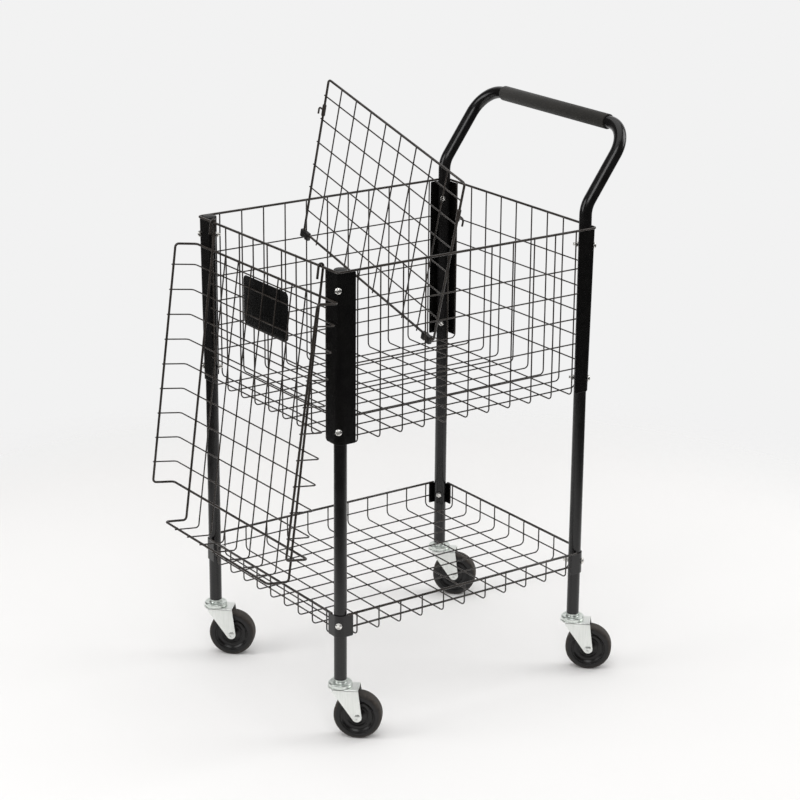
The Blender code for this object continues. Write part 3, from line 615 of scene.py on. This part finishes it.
def legTube(corner, top):
    bm = bmesh.new()
    outer = cart["tubeRadius"]
    bore = outer - cart["tubeWall"]
    low, soft = cart["legBottom"], legs["cutEdge"]
    profile = [(bore, top), (outer - soft, top), (outer, top - soft), (outer, low + soft), (outer - soft, low),
               (bore + soft, low), (bore, low + soft), (bore, top)]
    lathe(bm, profile, legs["segments"], Matrix.Translation(cornerPoint(corner)))
    makePiece("leg_tube_" + corner, bm, "cart_frame", tubePaint, ["leg_" + corner])


def legCap(corner, base):
    bm = bmesh.new()
    radius, flange, dome = cart["tubeRadius"], legs["capFlange"], legs["capDome"]
    plug, foot = radius - legs["plugRoom"], base - legs["plugDepth"]
    profile = [(0, base + flange + dome)]
    for step in range(1, legs["domeSteps"] + 1):  # elliptic dome
        angle = math.radians(90 - step * legs["domeStep"])
        profile.append((radius * legs["domeReach"] * math.cos(angle), base + flange + dome * math.sin(angle)))
    profile += [(radius, base + flange * legs["flangeEdge"]), (radius, base), (plug, base), (plug, foot),
                (0, foot)]
    lathe(bm, profile, legs["segments"], Matrix.Translation(cornerPoint(corner)))
    makePiece("cap_" + corner, bm, "cart_frame", capPlastic, ["leg_plug_" + corner])


legTop = cart["rimHeight"] - legs["topDrop"]
jointLevel = cart["rimHeight"] - cart["jointDrop"]
for corner in corners:
    if corner.startswith("front"):
        legTube(corner, legTop)
        legCap(corner, legTop + cart["clearance"])
    else:
        legTube(corner, jointLevel - cart["clearance"])
print("legs made")


# Handle: one bent tube and its foam grip
handle = {
    "rise": 0.041,
    "lean": math.radians(35.8),
    "barHeight": 1.1194,
    "lowerBend": 0.050,
    "cornerBend": 0.060,
    "sides": 40,
    "steps": 20,
    "gripRadius": 0.0153,
    "gripLength": 0.338,
    "gripRoom": 0.0001,
    "gripSides": 56,
    "boreEdge": ((0, 0.0006), (0.0005, 0)),  # out from the bore, and back from the end
    "outerEdge": ((0.0011, 0), (0.0003, 0.0004), (0, 0.0012)),  # in from the outside, and back from the end
}
handleX = cart["length"] / 2 - tubeInset
handleY = cart["width"] / 2 - tubeInset
bendLevel = cart["rimHeight"] + handle["rise"]
barX = handleX + (handle["barHeight"] - bendLevel) * math.tan(handle["lean"])
barPoint = middle + Vector((barX, 0, handle["barHeight"]))


def bendHandle():
    line = [(handleX, -handleY, jointLevel), (handleX, -handleY, bendLevel),
            (barX, -handleY, handle["barHeight"])]
    line += [(x, -y, z) for x, y, z in reversed(line)]
    bends = [handle["lowerBend"], handle["cornerBend"], handle["cornerBend"], handle["lowerBend"]]
    bm = bmesh.new()
    bendRod(bm, placed(*line), cart["tubeRadius"] * 2, bends, handle["sides"], handle["steps"])
    return bm


makePiece("handle_bar", bendHandle(), "cart_frame", tubePaint, ["handle_tube"])

bm = bmesh.new()
half, outer, bore = handle["gripLength"] / 2, handle["gripRadius"], cart["tubeRadius"] + handle["gripRoom"]
profile = [(bore + out, half - back) for out, back in handle["boreEdge"]]
profile += [(outer - inwards, half - back) for inwards, back in handle["outerEdge"]]
profile += [(radius, -height) for radius, height in reversed(profile)] + [profile[0]]
lathe(bm, profile, handle["gripSides"], Matrix.Translation(barPoint) @ Matrix.Rotation(math.radians(90), 4, "X"))
makePiece("grip_foam", bm, "cart_frame", gripFoam, ["handle_grip"])
print("handle made")


# Name plate: a bare card with rounded corners
card = {
    "width": 0.160,
    "height": 0.097,
    "drop": 0.127,
    "thickness": 0.0015,
    "corner": 0.010,
    "cornerSteps": 8,
    "rounding": 0.0003,
}
bm = bmesh.new()
cardX = -(cart["length"] / 2 - wallInset + weldThin + cart["thinWire"] / 2 + cart["clearance"])
bmesh.ops.create_grid(bm, x_segments=1, y_segments=1, size=0.5)
bmesh.ops.scale(bm, verts=bm.verts, vec=(card["width"], card["height"], 1))
roundOff(bm, bm.verts[:], card["corner"], card["cornerSteps"], "VERTICES")
bmesh.ops.solidify(bm, geom=bm.faces, thickness=card["thickness"])
softenEdges(bm, card["rounding"])
lowest = min(vert.co.z for vert in bm.verts)
place = Matrix.Translation(middle + Vector((cardX, 0, cart["rimHeight"] - card["drop"])))
turn = Matrix.Rotation(math.radians(-90), 4, "Z") @ Matrix.Rotation(math.radians(90), 4, "X")
bm.transform(place @ turn @ Matrix.Translation((0, 0, -lowest)))
makePiece("name_card", bm, "cart_frame", cardPlastic, ["nameplate"])
print("name plate made")


# Lid: heavy frame with two hooks, cross wires bent up at the flanges, long wires bent up at the lip
lid = {
    "sideRoom": 0.0045,
    "crossPitch": 0.051,
    "endPitch": 0.0425,
    "firstCross": 0.0563,
    "crossCount": 11,
    "flange": 0.0454,
    "splay": math.radians(7),  # the left flange leans outwards
    "rightTop": math.radians(0.5),  # the right one is straight at its top and leans in at its foot
    "rightFoot": math.radians(-4.4),
    "footIn": 0.0076,  # and its fold runs in by this much on the way down
    "hookClear": 0.0107,
    "longCount": 7,
    "lipDrop": 0.6118,
    "lip": 0.0474,
    "overhang": 0.006,
    "bend": 0.007,
    "hookBend": 0.999,  # of the hook's half width, because the bends may not quite meet
    "tail": 0.024,
    "hookWeldSink": 0.0004,
}
halfLid = cart["width"] / 2 + lid["sideRoom"]
halfHooks = (wireCount(cart["width"]) - 1) / 2 * cart["pitch"] - lid["hookClear"]
hookOffset = cart["heavyWire"] + cart["clearance"]
leanRoom = cart["tubeRadius"] + cart["sheet"] + 2 * cart["clearance"] - tubeInset + cart["heavyWire"] / 2
lidTilt = math.asin(leanRoom / math.hypot(lid["firstCross"], hookOffset))
lidTilt += math.atan(hookOffset / lid["firstCross"])
hinge = middle + Vector((-cart["length"] / 2, 0, cart["rimHeight"]))
lidDown = Vector((-math.sin(lidTilt), 0, -math.cos(lidTilt)))
lidOut = Vector((-math.cos(lidTilt), 0, math.sin(lidTilt)))


def lidPoint(drop, side, lift):
    return hinge - lidOut * hookOffset + lidDown * drop + lidOut * lift + Vector((0, side, 0))


def lidMesh():
    bm = bmesh.new()
    heavy, thin = cart["heavyWire"], cart["thinWire"]
    second = lid["firstCross"] + lid["endPitch"]
    crossDrops = [lid["firstCross"]] + [second + i * lid["crossPitch"] for i in range(lid["crossCount"] - 2)]
    crossDrops.append(crossDrops[-1] + lid["endPitch"])

    def crossShape(drop, room, low, high):  # from the edge of the right flange to the edge of the left
        foot = (drop - crossDrops[0]) / (crossDrops[-1] - crossDrops[0])
        lean = lid["rightTop"] * (1 - foot) + lid["rightFoot"] * foot
        left, right = halfLid + room, -halfLid + room + lid["footIn"] * foot
        shape = [(right - high * math.tan(lean), high), (right, low), (left, low),
                 (left + high * math.tan(lid["splay"]), high)]
        return [lidPoint(drop, side, lift) for side, lift in shape]

    outline = crossShape(crossDrops[0], 0, 0, lid["flange"])
    outline += crossShape(crossDrops[-1], 0, 0, lid["flange"])[::-1]
    bendRod(bm, outline, heavy, lid["bend"], closed=True, **heavyRod)
    hookLoop(bm)
    for drop in crossDrops[1:-1]:
        path = crossShape(drop, weldMixed, -weldMixed, lid["flange"] + heavy / 2)
        bendRod(bm, path, thin, lid["bend"])
    longLift = weldThin - weldMixed
    longSides = spread(lid["longCount"], 2 * halfHooks / (lid["longCount"] + 1))
    for side in longSides:
        corner = lid["lipDrop"] - longLift
        shape = [(lid["firstCross"] - heavy / 2, longLift), (corner, longLift),
                 (corner, lid["lip"] + lid["overhang"])]
        bendRod(bm, [lidPoint(drop, side, lift) for drop, lift in shape], thin, lid["bend"])
    spots = [lidPoint(drop, side, (longLift - weldMixed) / 2) for drop in crossDrops[1:-1] for side in longSides]
    hookWeld = -weldMixed / 2 - lid["hookWeldSink"]
    spots += [lidPoint(drop, side, hookWeld) for side in (-halfHooks, halfHooks) for drop in crossDrops[1:-1]]
    for drop in crossDrops[1:-1]:
        spots += crossShape(drop, weldMixed / 2, 0, lid["flange"])[::3]
    weldSpots(bm, spots)
    return bm


def hookLoop(bm):
    # One rod: hooked over the rim, down one side of the lid, across its lip and up to the other hook
    up = -lidDown * hookOffset
    half = []
    for side in (-halfHooks, halfHooks):
        outer = hinge + lidOut * hookOffset + Vector((0, side, 0))
        inner = hinge - lidOut * hookOffset + Vector((0, side, 0))
        half.append([outer + lidDown * lid["tail"], outer + up, inner + up, lidPoint(lid["lipDrop"], side, 0),
                     lidPoint(lid["lipDrop"], side, lid["lip"])])
    hookBends = [hookOffset * lid["hookBend"]] * 2
    bends = hookBends + [lid["bend"]] * 4 + hookBends
    bendRod(bm, half[0] + half[1][::-1], cart["heavyWire"], bends, **heavyRod)


makePiece("lid_wires", lidMesh(), "lid", wirePaint, ["lid"])
print("lid made")


# Divider: a flat mesh panel standing askew in the basket, with two side hooks and two clips
divider = {
    "sideRoom": 0.024,
    "height": 0.3404,
    "columns": 9,
    "firstRow": 0.036,
    "rows": 7,
    "lean": math.radians(15.9),
    "turn": math.radians(1.9),
    "pastWire": 0.0075,
    "bend": 0.007,
    "stub": 0.0045,
    "wirePast": 0.3,  # how far a thin wire ends past the frame, in heavy wires
    "weldSink": 0.0006,
    "hookLevel": 0.2735,
    "hookReach": 0.016,
    "hookDrop": 0.0145,
    "hookScale": 0.8,  # the hooks' wire and bends beside the frame's
    "sleeveRadius": 0.004,
    "sleeveLength": 0.024,
    "sleeveChamfer": 0.0008,
    "sleeveSides": 20,
    "clipBelow": 0.012,
}
dividerWidth = cart["width"] - 2 * divider["sideRoom"]
edgeWay = Vector((0, -math.cos(divider["lean"]), -math.sin(divider["lean"])))
riseWay = Vector((0, -math.sin(divider["lean"]), math.cos(divider["lean"])))
leftRim = Vector((0, -cart["width"] / 2, cart["rimHeight"]))
restingRow = Vector((0, cart["width"] / 2 - wallInset + weldThin, cart["rimHeight"] - basket["firstRowDrop"]))
alongEdge = leftRim.dot(edgeWay) - dividerWidth - cart["heavyWire"] - cart["clearance"]
alongRise = restingRow.dot(riseWay) + divider["clipBelow"] + cart["thinWire"] / 2 + cart["clearance"]
dividerCorner = middle + edgeWay * alongEdge + riseWay * alongRise
dividerCorner.x += -cart["pitch"] - divider["pastWire"]
turnedEdge = Matrix.Rotation(divider["turn"], 3, "Z") @ edgeWay
faceWay = turnedEdge.cross(riseWay).normalized()


def dividerPoint(side, rise, face=0.0):
    return dividerCorner + turnedEdge * side + riseWay * rise + faceWay * face


def sleeve(bm, centre):
    radius, half, chamfer = divider["sleeveRadius"], divider["sleeveLength"] / 2, divider["sleeveChamfer"]
    profile = [(0, -half), (radius - chamfer, -half), (radius, chamfer - half), (radius, half - chamfer),
               (radius - chamfer, half), (0, half)]
    lathe(bm, profile, divider["sleeveSides"], Matrix.Translation(centre) @ turnedTo(riseWay))


def dividerMesh():
    bm = bmesh.new()
    heavy, thin = cart["heavyWire"], cart["thinWire"]
    width, height = dividerWidth, divider["height"]
    outline = [dividerPoint(0, 0), dividerPoint(width, 0), dividerPoint(width, height), dividerPoint(0, height)]
    bendRod(bm, outline, heavy, divider["bend"], closed=True, **heavyRod)
    over, stub, scale = heavy * divider["wirePast"], divider["stub"], divider["hookScale"]
    sides = [width * i / divider["columns"] for i in range(1, divider["columns"])]
    rises = [height - divider["firstRow"] - i * (height - divider["firstRow"]) / (divider["rows"] - 1)
             for i in range(divider["rows"] - 1)]
    for side in sides:
        foot, head = dividerPoint(side, -stub, weldMixed), dividerPoint(side, height + over, weldMixed)
        bendRod(bm, [foot, head], thin, 0)
    for rise in rises:
        lift = weldMixed - weldThin
        bendRod(bm, [dividerPoint(-stub, rise, lift), dividerPoint(width + over, rise, lift)], thin, 0)
    for base, way in ((0, -1), (width, 1)):
        level, reach = divider["hookLevel"], base + way * divider["hookReach"]
        arm = [dividerPoint(base, level), dividerPoint(reach, level),
               dividerPoint(reach, level - divider["hookDrop"])]
        bendRod(bm, arm, heavy * scale, divider["bend"] * scale, **heavyRod)
        sleeve(bm, dividerPoint(base, level))
    spots = [dividerPoint(side, rise, weldMixed - weldThin / 2) for side in sides for rise in rises]
    frameWeld = weldMixed / 2 + divider["weldSink"]
    spots += [dividerPoint(side, rise, frameWeld) for side in sides for rise in (0, height)]
    weldSpots(bm, spots)
    return bm


makePiece("divider_wires", dividerMesh(), "divider", wirePaint, ["divider"])

clip = {
    "length": 0.026,
    "height": 0.016,
    "thickness": 0.0084,
    "mouth": 0.0046,
    "mouthDepth": 0.0065,
    "mouthTop": 0.6,  # of its width below
    "inset": 0.008,
    "overlap": 0.007,
    "rounding": 0.0009,
    "roundingSteps": 3,
    "sharpFrom": 50,  # degrees
}


def dividerClip(name, node, start):
    # Moulded block snapped over the lower wire, with a flared mouth for a basket wire underneath
    bm = bmesh.new()
    low = -divider["clipBelow"]
    high, mid, mouth = low + clip["height"], start + clip["length"] / 2, clip["mouth"]
    deep, narrow = low + clip["mouthDepth"], mouth * clip["mouthTop"]
    shape = [(start, low), (start, high), (start + clip["length"], high), (start + clip["length"], low),
             (mid + mouth / 2, low), (mid + narrow, deep), (mid - narrow, deep), (mid - mouth / 2, low)]
    face = bm.faces.new([bm.verts.new(dividerPoint(side, rise, -clip["thickness"] / 2)) for side, rise in shape])
    grown = bmesh.ops.extrude_face_region(bm, geom=[face])["geom"]
    bmesh.ops.translate(bm, verts=onlyVerts(grown), vec=faceWay * clip["thickness"])
    bmesh.ops.recalc_face_normals(bm, faces=bm.faces)
    softenEdges(bm, clip["rounding"], clip["roundingSteps"], clip["sharpFrom"])
    makePiece(name, bm, "divider", clipPlastic, [node])


dividerClip("clip_left", "divider_clip_left", dividerWidth - clip["inset"] - clip["length"])
dividerClip("clip_right", "divider_clip_right", -clip["overlap"])
print("divider made")


# Casters: fixed stem with its raceway, turning fork, and wheel
caster = {
    "heading": math.radians(-42.0),
    "trail": 0.0347,
    "axleHeight": 0.047113,
    "forkGap": 0.036,
    "forkSheet": 0.0025,
    "crownDrop": 0.0148,
}


def arc(centreRadius, centreHeight, radius, start, end, steps):
    angles = [math.radians(start + (end - start) * i / steps) for i in range(steps + 1)]
    return [(centreRadius + radius * math.cos(a), centreHeight + radius * math.sin(a)) for a in angles]


# Heights are above the tube's lower end; an arc is its centre, its radius, two angles and its steps
stem = {
    "spigot": 0.020,
    "collar": -0.0002,
    "neckTop": (0.0117, -0.0003),
    "neck": (0.0117, -0.0010, 0.0007, 90, 0, 3),
    "dish": (0.0163, -0.0028, 0.0040, 180, 270, 7),  # sweeping out
    "ringRadius": 0.0030,
    "ring": (-0.0087, 118, -30, 9),  # rolled round the edge of the raceway
    "racewayRadius": 0.0233,
    "racewayFoot": ((0.0003, 0.0008), (0.0012, 0)),  # in from its edge, and up from its foot
    "pinRadius": 0.005,
    "pinHeadRadius": 0.009,
    "pinHeadHeight": 0.003,
    "pinHeadTaper": 0.8,
    "segments": 56,
    "sharpAngle": 42,
}


def casterStem(corner):
    bm = bmesh.new()
    edge, ring = stem["racewayRadius"], stem["ringRadius"]
    pin, head = stem["pinRadius"], stem["pinHeadRadius"]
    foot = -caster["crownDrop"] + cart["clearance"]
    pinFoot = -caster["crownDrop"] - caster["forkSheet"] - cart["clearance"]
    headFoot = pinFoot - stem["pinHeadHeight"]
    bore = cart["tubeRadius"] - cart["tubeWall"] - cart["clearance"]
    level, *turn = stem["ring"]
    profile = [(0, stem["spigot"]), (bore, stem["spigot"]), (bore, stem["collar"]), stem["neckTop"]]
    profile += arc(*stem["neck"]) + arc(*stem["dish"]) + arc(edge - ring, level, ring, *turn)
    profile += [(edge - inwards, foot + rise) for inwards, rise in stem["racewayFoot"]]
    profile += [(pin, foot), (pin, pinFoot), (head, pinFoot), (head * stem["pinHeadTaper"], headFoot),
                (0, headFoot)]
    lathe(bm, profile, stem["segments"], Matrix.Translation(cornerPoint(corner, cart["legBottom"])))
    makePiece("stem_" + corner, bm, "cart_frame", racewayChrome, ["caster_stem_" + corner],
              stem["sharpAngle"])


fork = {
    "crownRadius": 0.0245,
    "crownAngles": (124, 236, 8),  # its round front: first, last and step
    "browDrop": 0.0037,
    "bend": 0.0033,
    "edge": 0.0004,
    "tipRadius": 0.0095,
    "frontAngle": 215.3,  # where the slanted front and rear edges touch the round tip
    "rearAngle": 367.3,
    "tipSteps": 14,
    "pinHole": 0.0053,
    "holeSides": 16,
    "axleRadius": 0.004,
    "headRadius": 0.0072,
    "headHeight": 0.0020,
    "headSink": 0.0002,
    "headDimple": ((0, 0.0005), (0.28, 0.0004), (0.42, 0)),  # parts of the head's radius, and depths
    "headAngles": (56, 42, 28, 14, 0),
    "headFoot": (0.9, 0.0003),
    "sharpAngle": 40,
}


def cutAway(bm, spot, way, faces=None):
    faces = bm.faces[:] if faces is None else faces
    verts = list(dict.fromkeys(vert for face in faces for vert in face.verts))
    bmesh.ops.bisect_plane(bm, geom=verts + edgesRound(faces) + faces, plane_co=spot, plane_no=way, dist=1e-6,
                           clear_outer=True)


def forkSheet(half, top, axleDrop):
    # One strip bent into a deep U; its cheeks slant down to a round tip, its crown is round in front
    bm = bmesh.new()
    bend, sheet, tip, crown = fork["bend"], caster["forkSheet"], fork["tipRadius"], fork["crownRadius"]
    wide = half + sheet
    section = [(wide, axleDrop - tip)] + arc(wide - bend, top - bend, bend, 0, 90, 6)
    section += [(-y, z) for y, z in reversed(section)]
    verts = [bm.verts.new((-crown, y, z)) for y, z in section]
    edges = [bm.edges.new(pair) for pair in zip(verts, verts[1:])]
    pushEdges(bm, edges, Vector((crown + caster["trail"] + tip, 0, 0)))
    first, last, step = fork["crownAngles"]
    for angle in range(first, last + 1, step):
        way = Vector((math.cos(math.radians(angle)), math.sin(math.radians(angle)), 0))
        cutAway(bm, way * crown, way)
    brow = top - fork["browDrop"]
    bmesh.ops.bisect_plane(bm, geom=bm.verts[:] + bm.edges[:] + bm.faces[:], plane_co=(0, 0, brow),
                           plane_no=(0, 0, 1), dist=1e-6)
    axle = Vector((caster["trail"], 0, axleDrop))
    front, rear, steps = fork["frontAngle"], fork["rearAngle"], fork["tipSteps"]
    for step in range(steps + 1):
        angle = math.radians(front + (rear - front) * step / steps)
        way = Vector((math.cos(angle), 0, math.sin(angle)))
        below = [face for face in bm.faces if step == steps or face.calc_center_median().z < brow]
        cutAway(bm, axle + way * tip, way, below)
    for step in range(fork["holeSides"]):  # hole for the king pin
        angle = math.radians(step * 360 / fork["holeSides"])
        way = Vector((math.cos(angle), math.sin(angle), 0))
        flat = [face for face in bm.faces if face.calc_center_median().z > top - 1e-5]
        bmesh.ops.bisect_plane(bm, geom=flat + edgesRound(flat), plane_co=way * fork["pinHole"], plane_no=way,
                               dist=1e-6)
    hole = [face for face in bm.faces if face.calc_center_median().xy.length < fork["pinHole"] * 0.5
            and face.calc_center_median().z > top - 1e-5]
    bmesh.ops.delete(bm, geom=hole, context="FACES")
    bmesh.ops.recalc_face_normals(bm, faces=bm.faces)
    roof = max(bm.faces, key=lambda face: face.calc_center_median().z)
    if roof.normal.z < 0:
        bmesh.ops.reverse_faces(bm, faces=bm.faces)
    bmesh.ops.solidify(bm, geom=bm.faces, thickness=sheet)
    softenEdges(bm, fork["edge"])
    return bm


def casterFork(corner):
    half, sheet = caster["forkGap"] / 2, caster["forkSheet"]
    axleDrop = caster["axleHeight"] - cart["legBottom"]
    bm = forkSheet(half, -caster["crownDrop"], axleDrop)
    radius, height, foot = fork["headRadius"], fork["headHeight"], half + sheet - fork["headSink"]
    profile = [(radius * part, foot + height - depth) for part, depth in fork["headDimple"]]
    profile += [(radius * math.cos(math.radians(a)), foot + height * math.sin(math.radians(a)))
                for a in fork["headAngles"]]
    profile.append((radius * fork["headFoot"][0], foot - fork["headFoot"][1]))
    axle = Matrix.Translation((caster["trail"], 0, axleDrop))
    for side in (-1, 1):
        lathe(bm, profile, 32, axle @ Matrix.Rotation(math.radians(-90 * side), 4, "X"))
    bmesh.ops.create_cone(bm, cap_ends=True, segments=24, radius1=fork["axleRadius"], radius2=fork["axleRadius"],
                          depth=2 * half + sheet, matrix=axle @ Matrix.Rotation(math.radians(90), 4, "X"))
    bm.transform(Matrix.Translation(cornerPoint(corner, cart["legBottom"]))
                 @ Matrix.Rotation(caster["heading"], 4, "Z"))
    makePiece("fork_plate_" + corner, bm, "fork_" + corner, forkZinc, ["caster_fork_" + corner],
              fork["sharpAngle"])


# One side of the wheel's outline: a radius, and how far in from the side face or the hub's face
wheel = {
    "radius": 0.0471,
    "width": 0.030,
    "flatTread": 0.45,  # of half the width
    "crownedTread": (0.0003, 0.70),
    "shoulder": ((0.0012, 0.0022), (0.0028, 0.0008), (0.0048, 0)),  # in from the tread
    "rimGroove": ((0.0352, 0), (0.0345, 0.0005), (0.0340, 0.0016), (0.0330, 0.0017), (0.0326, 0.0008),
                  (0.0320, 0.0006), (0.0314, 0.0010)),
    "web": ((0.0290, 0.0036), (0.0282, 0.0041), (0.0234, 0.0041), (0.0228, 0.0038), (0.0216, 0.0024),
            (0.0209, 0.0024), (0.0194, 0.0041), (0.0187, 0.0043), (0.0176, 0.0043), (0.0169, 0.0040),
            (0.0156, 0.0024), (0.0140, 0.0020)),
    "hub": ((0.0118, 0.0004), (0.0112, 0), (0.0046, 0), (0.0043, 0.0004)),
    "segments": 72,
    "sharpAngle": 50,
}


def casterWheel(corner):
    heading = Matrix.Rotation(caster["heading"], 4, "Z")
    axle = cornerPoint(corner) + heading.to_3x3() @ Vector((caster["trail"], 0, 0))
    axle.z = caster["axleHeight"]
    axis = heading.to_3x3() @ Vector((0, 1, 0))
    radius, half = wheel["radius"], wheel["width"] / 2
    face = caster["forkGap"] / 2 - cart["clearance"]
    drop, reach = wheel["crownedTread"]
    side = [(radius, 0), (radius, half * wheel["flatTread"]), (radius - drop, half * reach)]
    side += [(radius - inwards, half - depth) for inwards, depth in wheel["shoulder"]]
    side += [(out, half - depth) for out, depth in wheel["rimGroove"] + wheel["web"]]
    side += [(out, face - depth) for out, depth in wheel["hub"]]
    profile = [(out, -across) for out, across in reversed(side)] + side[1:]
    profile.append(profile[0])
    bm = bmesh.new()
    lathe(bm, profile, wheel["segments"], Matrix.Translation(axle) @ turnedTo(axis))
    rubber = tyreRubber("moulded_rubber_" + corner, axle, axis)
    makePiece("wheel_rubber_" + corner, bm, "wheel_" + corner, rubber, ["caster_wheel_" + corner],
              wheel["sharpAngle"])


for corner in corners:
    casterStem(corner)
    casterFork(corner)
    casterWheel(corner)
print("casters made")


# Studio: pale floor, soft lamps, and a camera where the photographer stood
studio = {
    "floorRadius": 1.08,
    "floorFade": 0.6,
    "floorBack": 0.15,
    "floorColour": "#f0efee",
    "background": "#f2f2f2",
    "ambient": 0.56,
    "reflectedDark": 0.04,
    "sweep": (0.50, 0.92),  # where the mirrored background turns from dark to pale
}
view = {
    "place": (-2.62465, -3.77800, 2.10558),  # from the middle of the baskets
    "azimuth": 34.92,
    "pitch": 18.50,
    "roll": 0.4595,
    "lens": 108.70,
    "sensor": 36,
}
look = math.radians(view["azimuth"])
backWay = Vector((math.sin(look), math.cos(look), 0))

cameraData = bpy.data.cameras.new("camera")
cameraData.lens = view["lens"]
cameraData.sensor_width = view["sensor"]
camera = bpy.data.objects.new("camera", cameraData)
bpy.context.scene.collection.objects.link(camera)
camera.matrix_world = (Matrix.Translation(middle + Vector(view["place"])) @ Matrix.Rotation(-look, 4, "Z")
                       @ Matrix.Rotation(math.radians(90 - view["pitch"]), 4, "X")
                       @ Matrix.Rotation(math.radians(view["roll"]), 4, "Z"))
bpy.context.scene.camera = camera


def paleFloor():
    # A round white sheet that thins out to the pale background beyond it
    centre = middle + backWay * studio["floorBack"]
    edge = studio["floorRadius"] + studio["floorFade"]
    bm = bmesh.new()
    bmesh.ops.create_circle(bm, cap_ends=True, segments=96, radius=edge, matrix=Matrix.Translation(centre))
    mesh = bpy.data.meshes.new("floor")
    bm.to_mesh(mesh)
    bm.free()
    floor = bpy.data.objects.new("floor", mesh)
    bpy.context.scene.collection.objects.link(floor)
    paper = {"Base Color": linear(studio["floorColour"]), "Roughness": 0.9, "Specular IOR Level": 0.1}
    material, tree, shader, place = startMaterial("white_sheet_floor", paper)
    centred = addNode(tree, "ShaderNodeMapping", {"Location": -centre}, {"Vector": place})
    distance = addNode(tree, "ShaderNodeVectorMath", {"operation": "LENGTH"}, {0: centred}).outputs["Value"]
    fade = addNode(tree, "ShaderNodeMapRange",
                   {"interpolation_type": "SMOOTHSTEP", "From Min": studio["floorRadius"], "From Max": edge,
                    "To Min": 1.0, "To Max": 0.0}, {"Value": distance})
    clear = addNode(tree, "ShaderNodeBsdfTransparent")
    mixed = addNode(tree, "ShaderNodeMixShader", links={0: fade, 1: clear, 2: shader})
    connect(tree, tree.nodes["Material Output"], {"Surface": mixed})
    mesh.materials.append(material)


def studioWorld():
    world = bpy.data.worlds.new("studio")
    bpy.context.scene.world = world
    world.use_nodes = True
    tree = world.node_tree
    ray = addNode(tree, "ShaderNodeLightPath").outputs
    direction = addNode(tree, "ShaderNodeTexCoord").outputs["Generated"]
    facing = addNode(tree, "ShaderNodeVectorMath", {"operation": "DOT_PRODUCT", 1: backWay}, {0: direction})
    dark, pale = studio["sweep"]
    paperSweep = addNode(tree, "ShaderNodeMapRange",
                         {"interpolation_type": "SMOOTHSTEP", "From Min": dark, "From Max": pale,
                          "To Min": studio["reflectedDark"]}, {"Value": facing.outputs["Value"]})
    backdrop = linear(studio["background"])
    seen = addNode(tree, "ShaderNodeBackground", {"Color": backdrop, "Strength": 1.0})
    mirrored = addNode(tree, "ShaderNodeBackground", {"Color": backdrop}, {"Strength": paperSweep})
    fill = addNode(tree, "ShaderNodeBackground", {"Color": (1, 1, 1, 1), "Strength": studio["ambient"]})
    shown = addNode(tree, "ShaderNodeMath", {"operation": "MAXIMUM"},
                    {0: ray["Is Camera Ray"], 1: ray["Is Transmission Ray"]})
    first = addNode(tree, "ShaderNodeMixShader", links={0: ray["Is Glossy Ray"], 1: fill, 2: mirrored})
    second = addNode(tree, "ShaderNodeMixShader", links={0: shown, 1: first, 2: seen})
    connect(tree, tree.nodes["World Output"], {"Surface": second})


def softBox(name, place, aim, size, power):
    lamp = bpy.data.lights.new(name, "AREA")
    lamp.shape = "RECTANGLE"
    lamp.size, lamp.size_y = size
    lamp.energy = power
    lampObject = bpy.data.objects.new(name, lamp)
    bpy.context.scene.collection.objects.link(lampObject)
    lampObject.location = place
    lampObject.rotation_euler = (Vector(aim) - Vector(place)).to_track_quat("-Z", "Y").to_euler()
    lampObject.visible_camera = False


paleFloor()
studioWorld()
sideWay = Vector((backWay.y, -backWay.x, 0))  # towards the right of the picture
aim = middle + Vector((0, 0, 0.6))
lamps = {
    "overhead_box": {
        "place": middle + Vector((0, 0, 3.4)) + backWay * 0.4,
        "aim": middle,
        "size": (3.0, 3.0),
        "power": 31,
    },
    "left_box": {
        "place": aim - sideWay * 2.6 - backWay * 0.9 + Vector((0, 0, 1.3)),
        "aim": aim,
        "size": (1.5, 2.0),
        "power": 28,
    },
    "high_box": {
        "place": middle + Vector((-1.45, -1.80, 3.05)),
        "aim": middle + Vector((0.35, 0, 1)),
        "size": (1.6, 1.6),
        "power": 27,
    },
    "right_box": {
        "place": aim + sideWay * 2.6 + backWay * 0.6 + Vector((0, 0, 1.5)),
        "aim": aim,
        "size": (1.5, 2.0),
        "power": 28,
    },
}
for name, lamp in lamps.items():
    softBox(name, **lamp)
bpy.context.scene.view_settings.view_transform = "Standard"
print("studio ready")
